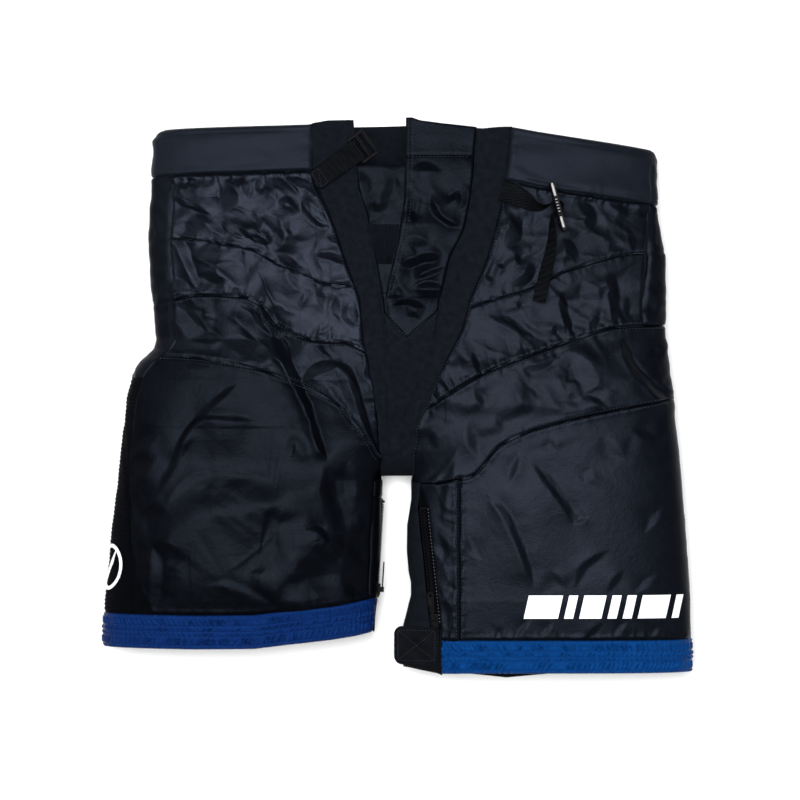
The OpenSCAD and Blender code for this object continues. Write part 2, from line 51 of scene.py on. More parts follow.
# ---------------------------------------------------------------- the shape that the CAD holds
# Silhouettes of the waist part and of each leg, as [Y, X] stations in millimetres.
HIP_LINE = 60
WAIST_RIGHT = [[40, -240], [62, -240.5], [80, -243], [110, -245.5], [165, -248.5], [215, -246], [258, -245],
               [266, -240], [275, -228]]
WAIST_LEFT = [[40, 266], [140, 266], [158, 262], [185, 259], [240, 258.5], [249, 256], [258, 246],
              [280, 240]]
RIGHT_SIDE = [[-260, -294], [-226, -294], [-201, -293], [-176, -290], [-126, -286], [-101, -282],
              [-50, -276.5], [0, -271], [24, -265.5], [38, -256], [50, -243.5], [60, -240.5]]
LEFT_SIDE = [[-280, 294], [-200, 292.5], [-120, 287], [-50, 281], [0, 274], [60, 266.5]]
RIGHT_INNER = [[-260, -26], [-226, -23.5], [-200, -20.5], [-160, -17.5], [-80, -15], [-40, 0],
               [0, 45], [30, 130], [60, 266]]
# The left leg is cut in from Y -206 to -172, which keeps it clear of the right zip's pull.
LEFT_INNER = [[-280, 4], [-226, 5], [-206, 10], [-196, 13], [-184, 13], [-172, 10], [-151, 8.5],
              [-126, 9], [-100, 13], [-80, 13], [-40, -5], [0, -45], [30, -130], [60, -250]]
WAIST_HEIGHT = [[60, 80], [150, 78], [270, 68]]
LEG_HEIGHT = [[-270, 75], [-200, 83], [-90, 86], [20, 86], [60, 80]]
# Edges that run across, as [X, Y].
WAIST_TOP = [[-250, 268], [-118, 271], [-90, 272], [-70, 275.5], [14, 277.5], [22, 274.5], [44, 271.5],
             [84, 267.5], [100, 269], [115, 269.5], [142, 264.5], [172, 260], [258, 247.5]]
WAIST_LOW = [[-250, 221], [-85, 226], [106, 217], [157, 206], [259, 192]]
HEM_RIGHT = [[-295, -246.5], [-200, -248], [-143, -247.5], [-110, -243.5], [-68, -239], [-43, -235.5],
             [-25, -232]]
HEM_LEFT = [[10, -268], [43, -272], [292, -272]]
BAND_RIGHT = 34
BAND_LEFT = 33
GUARD_RIGHT = [[-280, 44], [-200, 42], [-130, 28], [-60, -5], [-20, -60]]
GUARD_LEFT = [[40, -84], [75, -75], [100, -46], [133, -30], [178, -18], [266, 0]]
# Seams inside the hip panels, as [X, Y].
SEAM_1 = [[-260, 164], [-216, 160], [-145, 148], [-124, 136], [-77, 115], [-30, 110]]
SEAM_2 = [[-280, 92], [-243, 95], [-222, 98], [-198, 103], [-151, 101], [-134, 92], [-120, 71],
          [-83, 58], [-51, 56], [-20, 40]]
SEAM_R1 = [[50, 84], [72, 91], [132, 109], [164, 126], [221, 143], [280, 147]]
SEAM_R2 = [[10, -20], [24, -12], [84, 25], [145, 49], [208, 70], [280, 74]]
# Edges that run up, as [Y, X].
STRIP_RIGHT_OUT = [[40, -33], [99, -38], [139, -53], [184, -68], [221, -85], [280, -85]]
STRIP_RIGHT_IN = [[40, -10], [99, -17], [134, -23], [184, -33], [209, -41], [280, -46]]
STRIP_LEFT_IN = [[40, 34], [99, 43], [139, 52], [169, 67], [219, 75], [280, 80]]
STRIP_LEFT_OUT = [[40, 52], [69, 64], [99, 72], [139, 89], [189, 102], [219, 107], [280, 115]]
GUSSET_RIGHT = [[-80, -15], [-20, -18], [20, -24], [45, -31], [60, -34.5]]
GUSSET_LEFT = [[-80, 13], [-31, 17], [-6, 27], [45, 51], [60, 59]]
EDGE_RIGHT = GUSSET_RIGHT + STRIP_RIGHT_OUT[1:]
EDGE_LEFT = GUSSET_LEFT[:-1] + STRIP_LEFT_OUT[1:]
FLY_EDGE = [[80, -16], [109, -11], [154, 0], [199, 7], [280, 8]]
FLY_FOOT = [[-14, 86], [9, 61.5], [42, 90]]
ZIP_IN = [[-240, 33.5], [-107, 20], [-86, 22.5]]
ZIP_OUT = [[-240, 45.5], [-107, 32], [-86, 23.5]]
TAIL_X = 61
BAND_LEFT_X = 44
# The puckers of the quilting, as (height, length).
PUCKERS = [(1.35, 4.8), (0.45, 2.9)]
# Rows of stitching across a hem band, as shares of its width.
HEM_ROWS = [0.09, 0.36, 0.5, 0.66, 0.92]
CROTCH_Y = -77
CROTCH_DIP = [[-80, 17], [-70, 6], [-60, 1], [-50, 0]]
CROTCH_RISE = [[-80, 29], [-70, 18], [-60, 9], [-40, 2], [-10, 0.2], [60, 0.2]]
SIDE_Q = [[20, 0.24], [60, 0.28]]
INNER_Q = 0.22
# Where the mesh of the right leg's side comes round to the front, as [Y, X].
MESH_EDGE = [[-262, -238], [-214, -242], [-178, -256], [-151, -262], [-137, -264], [-78, -266], [-50, -266.6]]
CORNER_P = 3
BACK_FLAT = 0.7
FABRIC_T = 1.8
SEAM = 0.12


def look(table, v):
    """The value of a table of [key, value] stations at v."""
    keys, values = np.array(table, float).T
    return np.interp(v, keys, values)


def swap(table):
    """A [Y, X] table as points of X and Y."""
    return [[x, y] for y, x in table]


def upright(x):
    """The [Y, X] table of a straight edge that runs up at x."""
    return [[-300, x], [300, x]]


def tube(side, y):
    """Left X, right X and height of the flattened section at Y, above and below the hip line."""
    up = y >= HIP_LINE
    if side == "right":
        low_left, low_right = look(RIGHT_SIDE, y), look(RIGHT_INNER, y)
    else:
        low_left, low_right = look(LEFT_INNER, y), look(LEFT_SIDE, y)
    return (np.where(up, look(WAIST_RIGHT, y), low_left),
            np.where(up, look(WAIST_LEFT, y), low_right),
            np.where(up, look(WAIST_HEIGHT, y), look(LEG_HEIGHT, y)))


def skin(side, q, y, d):
    """The point d inside the skin. q is 0 at mid front, 1 at the +X edge and 2 at mid back."""
    left, right, height = tube(side, y)
    m = height / 2
    w = (right - left) / 2 - d
    back = (q < -1) | ((q > 1) & (q < 3))
    u = np.sin(np.pi / 2 * q)
    v = np.where(back, np.maximum(0, (np.abs(u) - BACK_FLAT) / (1 - BACK_FLAT)), np.abs(u))
    rise = np.maximum(0, 1 - v ** CORNER_P) ** (1 / CORNER_P)
    z = m + np.where(back, -1, 1) * (m - d) * rise
    return np.stack([(left + right) / 2 + w * u, y + 0 * q, z], -1)


def side_q(y):
    """Half the width of the side panel, in q."""
    return look(SIDE_Q, y)


# The front edge of the left hip's side panel, as [Y, q]; below the last seam it lies at the silhouette.
LEFT_HIP_Q = [[60, 0.715], [82, 0.715], [146, 0.768], [192, 0.834], [230, 0.86]]
LEFT_LEG_Q = 0.985
LEFT_TURN = 72.4


def mesh_q(y):
    """The front edge of the right leg's side panel, in q."""
    return np.where(y < -50, q_front("right", look(MESH_EDGE, y), y), -1 + side_q(y))


def left_side_q(y):
    """The front edge of the left side panels, in q."""
    return np.where(y < LEFT_TURN, LEFT_LEG_Q, look(LEFT_HIP_Q, y))


def q_front(side, x, y):
    left, right, _ = tube(side, y)
    return np.arcsin(np.clip((2 * x - left - right) / (right - left), -1, 1)) * 2 / np.pi


def q_back(side, x, y):
    return 2 - q_front(side, x, y)


# ---------------------------------------------------------------- noise and interpolation
def weights(t):
    """The four Catmull-Rom weights for a fraction t."""
    return [0.5 * (-t + 2 * t ** 2 - t ** 3), 0.5 * (2 - 5 * t ** 2 + 3 * t ** 3),
            0.5 * (t + 4 * t ** 2 - 3 * t ** 3), 0.5 * (t ** 3 - t ** 2)]


def cubic(grid, i, j, wrap=False):
    """The smooth value of a 2-D array at fractional places i and j."""
    i_low, j_low = np.floor(i).astype(int), np.floor(j).astype(int)
    across, along = weights(i - i_low), weights(j - j_low)
    rows, columns = grid.shape
    total = np.zeros(np.broadcast(i, j).shape)
    for a in range(4):
        row = (i_low + a - 1) % rows if wrap else np.clip(i_low + a - 1, 0, rows - 1)
        for b in range(4):
            column = (j_low + b - 1) % columns if wrap else np.clip(j_low + b - 1, 0, columns - 1)
            total += across[a] * along[b] * grid[row, column]
    return total


def noise(seed, x, y, size):
    """Smooth noise of about -1 to 1 with features of the given size."""
    lattice = np.random.default_rng(seed).uniform(-1, 1, (97, 97))
    return cubic(lattice, np.asarray(x) / size, np.asarray(y) / size, True)


def smooth(t):
    t = np.clip(t, 0, 1)
    return t * t * (3 - 2 * t)


def curve(points, step=3.0):
    """A smooth line through given points, resampled about every step."""
    p = np.array(points, float)
    p = np.vstack([2 * p[0] - p[1], p, 2 * p[-1] - p[-2]])
    line = []
    for k in range(1, len(p) - 2):
        count = max(1, int(np.linalg.norm(p[k + 1] - p[k]) / step))
        for t in np.arange(count) / count:
            w = weights(t)
            line.append(sum(w[a] * p[k - 1 + a] for a in range(4)))
    line.append(p[-2])
    return np.array(line)


# ---------------------------------------------------------------- the folds of the front
LOW_X, LOW_Y = -300, -285
COLUMNS, ROWS = 601, 571
GRID_X, GRID_Y = np.meshgrid(LOW_X + np.arange(COLUMNS), LOW_Y + np.arange(ROWS), indexing="ij")
GRID_X, GRID_Y = GRID_X.astype(float), GRID_Y.astype(float)


def near_line(line, reach):
    """The part of the grid within reach of a line: its slices, distance, side and arc length."""
    i0, i1 = (np.clip([line[:, 0].min() - reach - LOW_X, line[:, 0].max() + reach - LOW_X + 2],
                      0, COLUMNS)).astype(int)
    j0, j1 = (np.clip([line[:, 1].min() - reach - LOW_Y, line[:, 1].max() + reach - LOW_Y + 2],
                      0, ROWS)).astype(int)
    part = (slice(i0, i1), slice(j0, j1))
    x, y = GRID_X[part], GRID_Y[part]
    best, side, arc = np.full(x.shape, 1e9), np.zeros(x.shape), np.zeros(x.shape)
    start = 0.0
    for a, b in zip(line[:-1], line[1:]):
        step = b - a
        length = float(np.hypot(*step)) + 1e-9
        t = np.clip(((x - a[0]) * step[0] + (y - a[1]) * step[1]) / length ** 2, 0, 1)
        dx, dy = x - a[0] - t * step[0], y - a[1] - t * step[1]
        distance = np.hypot(dx, dy)
        closer = distance < best
        best = np.where(closer, distance, best)
        side = np.where(closer, np.sign(step[0] * dy - step[1] * dx), side)
        arc = np.where(closer, start + t * length, arc)
        start += length
    return part, best, side, arc, start


def crease(height_map, points, width, depth, tail=14):
    """Turns a strip of cloth away from the light: it falls from a crest to a valley across a line."""
    line = curve(points)
    soft = float(smooth((30 - line[:, 1].mean()) / 60))
    part, distance, side, arc, length = near_line(line, width * 5 + 12)
    ends = smooth(np.minimum(arc, length - arc) / min(tail + 10 * soft, length / 2) + 0.03)
    wobble = 1 + (0.3 - 0.1 * soft) * noise(len(points) + int(abs(points[0][0])), arc, 30 * side, 9)
    fall = 1 if (points[0][0] + points[0][1]) % 3 else -1
    half = width * wobble * (0.25 + 0.75 * ends) * (1.4 + 0.1 * soft)
    across = side * fall * distance / half
    flank = np.clip(across, -1, 1) * (1 - soft) + np.tanh(1.3 * across) * soft
    away = np.exp(-np.maximum(0, np.abs(across) - 1) * half / (1.3 * half + 4))
    height_map[part] -= (0.82 - 0.1 * soft) * depth * ends * flank * away


def ridge(height_map, points, width, height):
    """Raises a sharp crest along given points."""
    line = curve(points)
    part, distance, _, arc, length = near_line(line, width * 4)
    ends = smooth(np.minimum(arc, length - arc) / min(16, length / 2) + 0.1)
    height_map[part] += height * ends * np.exp(-np.abs(distance / width) ** 1.3)


# Folds that turn away from the light, as (points, half width, depth), as the cloth lies.
CREASES = [
    # right hip, below the waistband
    ([[-224, 200], [-206, 192], [-184, 183]], 3, 2.2),
    ([[-174, 216], [-167, 200], [-174, 184]], 7, 3.6),
    ([[-172, 186], [-154, 176], [-136, 169]], 5, 1.8),
    ([[-214, 214], [-220, 204]], 3, 1.4),
    ([[-196, 217], [-203, 203]], 2.6, 1.6),
    ([[-205, 217], [-210, 206]], 2.2, 1.2),
    ([[-149, 220], [-147, 197]], 2.8, 2.0),
    ([[-137, 219], [-138, 201]], 2.6, 1.8),
    ([[-130, 219], [-110, 208], [-102, 196], [-98, 182]], 4, 2.8),
    ([[-114, 220], [-92, 211], [-72, 199]], 3.2, 2.2),
    ([[-97, 199], [-84, 182], [-62, 170]], 5, 2.6),
    ([[-129, 184], [-122, 162], [-125, 143]], 5.5, 3.2),
    ([[-122, 146], [-106, 134], [-90, 126]], 4, 2.2),
    ([[-120, 193], [-108, 196], [-100, 184]], 3, 1.4),
    ([[-114, 169], [-115, 156]], 3, 1.5),
    ([[-84, 143], [-66, 140], [-49, 132]], 3, 2.6),
    ([[-73, 161], [-56, 153]], 3, 1.6),
    ([[-70, 112], [-56, 114], [-44, 117]], 2.2, 1.6),
    ([[-194, 184], [-180, 172], [-170, 160]], 3.4, 2.2),
    ([[-219, 178], [-210, 166]], 3, 1.6),
    ([[-158, 170], [-140, 158], [-128, 157], [-128, 168]], 2.6, 1.6),
    # right hip, between its seams
    ([[-228, 166], [-214, 154], [-207, 136], [-195, 107]], 2.4, 2.6),
    ([[-204, 149], [-184, 144], [-160, 138]], 5, 2.0),
    ([[-176, 138], [-160, 124], [-146, 112]], 8, 2.8),
    ([[-197, 125], [-182, 121], [-166, 118]], 4, 2.2),
    ([[-128, 124], [-112, 106], [-97, 84]], 8, 3.2),
    ([[-80, 113], [-76, 98], [-74, 84]], 3.4, 1.6),
    ([[-58, 106], [-62, 92], [-58, 76]], 4, 2.2),
    ([[-46, 100], [-42, 84], [-40, 70]], 5, 1.8),
    ([[-78, 68], [-73, 62]], 2, 1.4),
    ([[-230, 121], [-214, 113], [-200, 104]], 3.4, 2.4),
    # right yoke
    ([[-222, 94], [-211, 78], [-194, 63], [-170, 60]], 4.5, 2.2),
    ([[-170, 61], [-146, 50], [-120, 38]], 7, 2.2),
    ([[-189, 90], [-193, 80]], 2, 1.6),
    ([[-159, 95], [-152, 82], [-138, 67], [-126, 57], [-108, 36]], 4, 3.0),
    ([[-134, 94], [-124, 73], [-112, 46], [-100, 18], [-88, -10], [-80, -36], [-70, -61]], 3.2, 4.2),
    ([[-66, 38], [-54, 32], [-46, 22], [-38, -3], [-28, -36], [-17, -60]], 3.6, 4.0),
    ([[-96, 17], [-83, 30], [-66, 35], [-58, 43]], 4, 2.6),
    ([[-33, 40], [-28, 14]], 2.4, 1.8),
    ([[-84, 60], [-72, 48], [-62, 44]], 3.5, 1.8),
    ([[-76, 20], [-62, 8], [-52, -14], [-46, -34]], 3, 1.6),
    # right thigh
    ([[-246, -146], [-224, -122], [-198, -106], [-164, -98], [-132, -96], [-112, -101]], 11, 4.6),
    ([[-206, -84], [-176, -80], [-140, -82]], 5, 1.6),
    ([[-114, -47], [-103, -38], [-95, -44], [-88, -64]], 5, 2.4),
    ([[-92, -112], [-102, -132], [-120, -158], [-152, -186]], 13, 5.0),
    ([[-72, -64], [-66, -104], [-61, -124], [-63, -164]], 7, 4.4),
    ([[-46, -120], [-44, -160], [-48, -200]], 9, 4.6),
    ([[-50, -58], [-46, -90], [-42, -112]], 4, 2.2),
    ([[-98, -129], [-82, -128], [-74, -138], [-78, -150]], 3, 1.8),
    ([[-121, -204], [-98, -190], [-68, -186], [-36, -194]], 8, 4.6),
    ([[-36, -110], [-32, -150]], 4, 1.8),
    ([[-268, -58], [-252, -44], [-236, -34]], 4.5, 2.4),
    ([[-262, -84], [-248, -66], [-238, -56]], 3, 1.6),
    ([[-238, -96], [-222, -64], [-206, -28], [-180, -2], [-156, 18]], 2.8, 2.0),
    ([[-222, -52], [-206, -28], [-190, -18], [-164, -19], [-136, -21]], 2.6, 2.0),
    ([[-226, -68], [-206, -44], [-196, -36]], 3, 1.8),
    ([[-240, -140], [-236, -172], [-244, -214]], 4, 3.0),
    ([[-258, -176], [-250, -194], [-254, -210]], 4, 2.0),
    ([[-252, -112], [-240, -96], [-230, -88]], 3, 1.6),
    ([[-190, -184], [-168, -182], [-140, -194], [-120, -208]], 3, 1.4),
    ([[-226, -166], [-206, -160]], 2.4, 1.2),
    ([[-150, -172], [-130, -168]], 3, 1.4),
    # left hip, below the waistband
    ([[113, 186], [117, 166], [104, 149]], 6, 3.2),
    ([[115, 144], [122, 131]], 3, 2.2),
    ([[131, 138], [128, 120], [110, 111]], 4.5, 2.6),
    ([[160, 160], [170, 149], [176, 132]], 4.5, 2.4),
    ([[176, 194], [190, 182], [187, 162]], 5.5, 2.6),
    ([[214, 195], [222, 184], [214, 173]], 4, 2.0),
    ([[227, 171], [232, 143]], 2.6, 2.0),
    ([[244, 196], [247, 188]], 3, 1.6),
    ([[207, 146], [222, 151]], 2.6, 1.4),
    ([[84, 122], [98, 116]], 2.4, 1.6),
    ([[96, 134], [108, 128]], 2.2, 1.4),
    ([[138, 186], [142, 160], [134, 140]], 4, 1.6),
    # left hip, between its seams
    ([[162, 109], [163, 93], [166, 77], [169, 60]], 4, 3.0),
    ([[155, 77], [152, 61]], 2.6, 2.0),
    ([[180, 117], [190, 102], [198, 94]], 6, 2.6),
    ([[204, 127], [212, 110], [211, 92], [214, 70]], 5, 2.8),
    ([[200, 94], [206, 69]], 2.6, 2.0),
    ([[196, 84], [191, 68]], 2.8, 1.8),
    ([[225, 104], [227, 77]], 3, 2.0),
    ([[118, 99], [120, 86]], 2.2, 1.4),
    ([[88, 84], [110, 72], [130, 57]], 2.4, 1.5),
    ([[96, 86], [118, 72], [136, 60]], 2.4, 1.5),
    ([[73, 48], [78, 34], [84, 22]], 2.6, 2.4),
    ([[62, 44], [70, 24]], 3, 1.6),
    ([[240, 122], [242, 100]], 3, 1.4),
    ([[250, 98], [256, 84]], 2.8, 1.6),
    ([[247, 190], [243, 150], [239, 84]], 2.0, 1.6),
    # left yoke
    ([[156, 36], [174, 38], [187, 20], [182, 6]], 6, 2.6),
    ([[113, 21], [128, 6], [139, -8]], 5.5, 2.6),
    ([[184, 6], [208, -10]], 2.4, 1.8),
    ([[219, 62], [228, 36], [248, 13], [266, 0]], 3.8, 3.2),
    ([[252, 54], [262, 42]], 3, 2.0),
    ([[74, 12], [88, -8]], 3, 2.0),
    ([[69, -20], [75, -48], [82, -60]], 4.5, 2.6),
    ([[26, -88], [46, -66], [61, -46]], 2.6, 2.0),
    ([[45, -124], [48, -88], [59, -56]], 2.6, 1.8),
    ([[30, -30], [40, -50]], 4, 1.6),
    ([[120, 30], [146, 34], [156, 44]], 3, 1.6),
    ([[146, 0], [168, -6], [196, 4], [214, 10]], 4, 1.6),
    ([[96, -14], [104, -34]], 3.5, 1.6),
    # left thigh
    ([[108, -86], [116, -66], [121, -50]], 3.2, 1.8),
    ([[131, -61], [147, -81], [166, -108], [174, -128]], 3, 2.2),
    ([[86, -96], [105, -112], [124, -154], [134, -188]], 2.8, 2.4),
    ([[171, -124], [190, -116]], 2.2, 1.2),
    ([[184, -84], [193, -67]], 3, 1.2),
    ([[202, -34], [214, -50], [226, -60]], 4.5, 1.8),
    ([[229, -29], [256, -40]], 4, 1.8),
    ([[174, -189], [184, -166], [210, -148]], 3, 1.8),
    ([[205, -193], [224, -167]], 2.8, 1.6),
    ([[233, -193], [258, -172]], 2.6, 1.5),
    ([[243, -134], [264, -104]], 2.8, 1.8),
    ([[150, -168], [166, -188]], 2.8, 1.4),
    ([[150, -36], [156, -52]], 3, 1.4),
    ([[66, -130], [72, -150], [84, -160]], 2.4, 1.4),
    ([[114, -239], [132, -216]], 2.2, 1.4),
    ([[140, -238], [154, -220]], 2, 1.2),
    ([[182, -239], [204, -220]], 2.2, 1.3),
    ([[210, -239], [228, -219]], 2.2, 1.3),
    ([[250, -239], [260, -224]], 2, 1.2),
    ([[98, -240], [106, -226]], 2, 1.2),
    # the tail between the zip and the thigh panel
    ([[40, -130], [50, -150], [44, -166]], 3, 1.8),
    ([[54, -176], [46, -200]], 2.6, 1.6),
    ([[42, -186], [52, -210], [50, -226]], 2.6, 1.4),
    # fly
    ([[32, 202], [38, 184], [48, 175], [63, 169]], 1.8, 2.8),
    ([[48, 191], [54, 199], [61, 208]], 2.2, 2.4),
    ([[3, 176], [11, 181], [22, 177]], 3.5, 2.4),
    ([[0, 130], [24, 138], [46, 141]], 3.4, 3.6),
    ([[14, 117], [30, 124], [47, 131]], 1.8, 2.2),
    ([[14, 110], [32, 113], [47, 109]], 2.6, 3.0),
    ([[10, 226], [26, 229], [46, 224]], 3, 1.6),
    ([[20, 206], [14, 190], [18, 170]], 4, 1.8),
    ([[62, 214], [66, 196], [58, 184]], 2.4, 1.8),
    ([[6, 150], [16, 156], [34, 152]], 4, 1.8),
    ([[-10, 104], [0, 108], [10, 104]], 2, 1.8),
    ([[-8, 92], [8, 96], [30, 90]], 2.4, 2.4),
    ([[6, 82], [16, 84], [24, 78]], 2, 1.6),
    # inside the fly
    ([[-44, 228], [-30, 214], [-34, 196]], 3.5, 2.0),
    ([[-16, 232], [-8, 214], [-14, 196], [-8, 180]], 4, 2.2),
    ([[-30, 196], [-18, 190], [-6, 194]], 3, 1.8),
    ([[-38, 188], [-26, 181], [-16, 184]], 3, 2.4),
    ([[-2, 222], [2, 206]], 2.6, 1.4),
    ([[-12, 128], [-4, 116], [4, 108]], 3, 1.6),
    # waistband
    ([[-212, 246], [-186, 236]], 3, 0.6),
    ([[-150, 250], [-120, 238]], 3, 0.5),
    ([[112, 232], [146, 213], [190, 203]], 3, 0.9),
    # strips and gusset
    ([[-60, 262], [-66, 240], [-58, 222]], 5, 2.6),
    ([[-50, 214], [-46, 190], [-40, 172]], 5, 2.6),
    ([[-34, 150], [-28, 124], [-26, 100]], 4, 2.4),
    ([[92, 262], [90, 240], [86, 222]], 4, 2.4),
    ([[70, 150], [56, 118], [46, 92]], 4, 2.2),
    ([[-22, 40], [-14, 8], [-12, -30]], 3.4, 3.4),
    ([[40, 30], [28, 2], [18, -30]], 3, 3.0),
    ([[4, 56], [12, 34], [10, 8]], 4, 3.0),
    ([[106, 279], [112, 256], [110, 240]], 3, 1.2),
    ([[-12, 40], [4, 10], [2, -30]], 6, 4.4),
    ([[30, 46], [20, 14], [14, -20]], 5, 3.6),
    ([[-4, -36], [8, -60]], 6, 4.0),
]

# Crests that catch the light, as (points, width, height).
RIDGES = [
    ([[-218, 194], [-190, 186], [-165, 166], [-140, 152]], 2.2, 1.6),
    ([[-116, 219], [-101, 210], [-95, 194], [-82, 178], [-63, 168]], 2.6, 1.8),
    ([[-138, 130], [-130, 114], [-117, 87]], 1.4, 1.6),
    ([[-207, 144], [-187, 135], [-173, 127], [-152, 106]], 1.8, 1.6),
    ([[-218, 158], [-207, 130], [-196, 110]], 2.2, 1.2),
    ([[-152, 97], [-120, 70], [-104, 33]], 2.4, 1.4),
    ([[-56, 34], [-40, 8], [-22, -52]], 2.4, 1.6),
    ([[-126, 60], [-104, 12], [-90, -24]], 2.6, 1.4),
    ([[-234, -118], [-208, -78], [-170, -70], [-120, -80]], 6, 1.6),
    ([[-112, -104], [-130, -140], [-170, -172]], 2.6, 1.2),
    ([[70, 60], [90, 48], [110, 44]], 2, 1.0),
    ([[160, 70], [164, 56]], 1.6, 1.2),
    ([[84, -92], [103, -106], [116, -130]], 2, 1.2),
    ([[140, -66], [160, -92], [178, -126]], 2, 1.0),
    ([[200, 190], [206, 170], [196, 150]], 3, 1.0),
    ([[232, 46], [250, 22], [270, 8]], 2.4, 1.2),
]

# The inner edges of the two strips where they run on down the gusset, as [X, Y].
GUSSET_SEAM = [[43, 99], [36, 52], [26, 22], [12, -4], [6, -36], [5, -70]]
STRIP_FOOT = [[-17, 99], [-12, 46], [-13, 0], [-10, -40], [-9, -66]]

# Seams as (points, side that is gathered or 0, pucker height, pucker length, groove depth).
SEAMS = [
    (WAIST_LOW[:2] + [[-70, 226]], -1, 1.5, 12, 2.0),
    (WAIST_LOW[2:], -1, 1.2, 10, 2.0),
    (SEAM_1, 0, 1.0, 5, 0.35),
    (SEAM_2, 1, 1.4, 8, 0.9),
    (SEAM_2, -1, 0.8, 5, 0),
    (GUARD_RIGHT, 0, 0.5, 4, 0.6),
    (SEAM_R1, 0, 0.8, 5, 0.45),
    (SEAM_R2, 1, 1.6, 12, 0.9),
    (SEAM_R2, -1, 0.9, 6, 0),
    (GUARD_LEFT, 0, 0.6, 5, 0.7),
    ([[TAIL_X, -78], [TAIL_X, -245]], 0, 0.8, 5, 1.1),
    (swap(EDGE_RIGHT), 0, 0.9, 6, 1.2),
    (swap(EDGE_LEFT), 0, 0.9, 6, 1.2),
    (swap(STRIP_RIGHT_IN), 0, 0.3, 5, 1.0),
    (swap(STRIP_LEFT_IN), 0, 0.3, 5, 1.0),
    (GUSSET_SEAM, 0, 0.5, 4, 1.1),
    (STRIP_FOOT, 0, 0.4, 4, 1.0),
    ([[x, y + BAND_RIGHT] for x, y in HEM_RIGHT], 1, 0.5, 8, 1.2),
    ([[x, y + BAND_LEFT] for x, y in HEM_LEFT], 1, 0.8, 9, 1.2),
    ([[-262, -217], [-264, -153], [-268, -88], [-273, -21], [-262, 30]], 0, 0.4, 5, 1.0),
    ([[-224, 222], [-224, 190], [-224, 150], [-223, 100], [-219, 62]], 0, 0.4, 5, 1.3),
    ([[float(skin("left", np.array(q), np.array(y), 0.0)[0]), y] for y, q in LEFT_HIP_Q[1:]],
     0, 0.4, 5, 1.2),
]


# How much longer the hips' cloth is than its room, as a share.
HIP_LOOSENESS = 0.045
# Rounds of averaging that soften the bounds between loose and tight cloth.
SOFTENING_ROUNDS = 60


def looseness():
    """How much longer the cloth is than the room it has, as a share, over the front."""
    share = np.full(GRID_X.shape, 0.008)
    hips = (GRID_Y < np.where(GRID_X < 50, 222, 212)) & (GRID_Y > np.where(GRID_X < 0, 30, -10))
    knit = (GRID_X > look(EDGE_RIGHT, GRID_Y)) & (GRID_X < look(EDGE_LEFT, GRID_Y))
    share[hips] = HIP_LOOSENESS
    share[(GRID_Y <= 30) & (GRID_X < 0)] = 0.013
    share[(GRID_Y <= -10) & (GRID_X > 0)] = 0.011
    share[knit & (GRID_Y < 240)] = 0.006
    share[(GRID_X > 16) & (GRID_X < TAIL_X) & (GRID_Y < -80)] = 0.05
    flap = (GRID_X > look(FLY_EDGE, GRID_Y)) & (GRID_X < look(STRIP_LEFT_IN, GRID_Y))
    share[flap & (GRID_Y > 100) & (GRID_Y < 240)] = 0.035
    for _ in range(SOFTENING_ROUNDS):
        share[1:-1, 1:-1] = (share[:-2, 1:-1] + share[2:, 1:-1] + share[1:-1, :-2] + share[1:-1, 2:]) / 4
    return share


# The lowest and highest that a buckled sheet may stand from its frame, and its first unevenness.
BUCKLE_RANGE = (-2.5, 10)
JITTER = 0.35


def relax(start, share, held, cell, rounds, droop, stiff, seed):
    """Lets a sheet longer than its frame buckle: each round pulls every thread to its length."""
    columns, rows = start.shape
    x, y = np.meshgrid(np.arange(columns) * cell, np.arange(rows) * cell, indexing="ij")
    place = np.stack([x, y, start], -1)
    jitter = np.random.default_rng(seed).normal(0, JITTER, start.shape)
    links = [(1, 0, 1.0), (0, 1, 1.0), (1, 1, 0.35), (1, -1, 0.35)]

    def pair(a, i, j):
        far_j = slice(j, None) if j >= 0 else slice(None, j)
        near_j = slice(None, -j) if j > 0 else (slice(-j, None) if j < 0 else slice(None))
        return a[:columns - i, near_j] if i else a[:, near_j], a[i:, far_j]

    lengths = []
    for i, j, _ in links:
        a, b = pair(place, i, j)
        loose_a, loose_b = pair(share, i, j)
        lengths.append(np.linalg.norm(b - a, axis=-1) * (1 + (loose_a + loose_b) / 2))
    rest = place.copy()
    place[..., 2] += np.where(held, 0, jitter)
    for _ in range(rounds):
        move = np.zeros_like(place)
        for (i, j, pull), length in zip(links, lengths):
            a, b = pair(place, i, j)
            gap = b - a
            now = np.linalg.norm(gap, axis=-1)
            step = (pull * 0.25 * (now - length) / now)[..., None] * gap
            move_a, move_b = pair(move, i, j)
            move_a += step
            move_b -= step
        place += move
        z = place[..., 2]
        mean = (z[:-2, 1:-1] + z[2:, 1:-1] + z[1:-1, :-2] + z[1:-1, 2:]) / 4
        z[1:-1, 1:-1] += stiff * (mean - z[1:-1, 1:-1])
        z -= droop
        np.clip(z, *BUCKLE_RANGE, out=z)
        place[held] = rest[held]
    return place - rest, place[..., 2]


# Half the width of a seam's groove, and the roll of cloth beside it: its place, half width and share.
GROOVE_W = 1.5
ROLL_AT, ROLL_W, ROLL_SHARE = 3.6, 2.0, 0.35


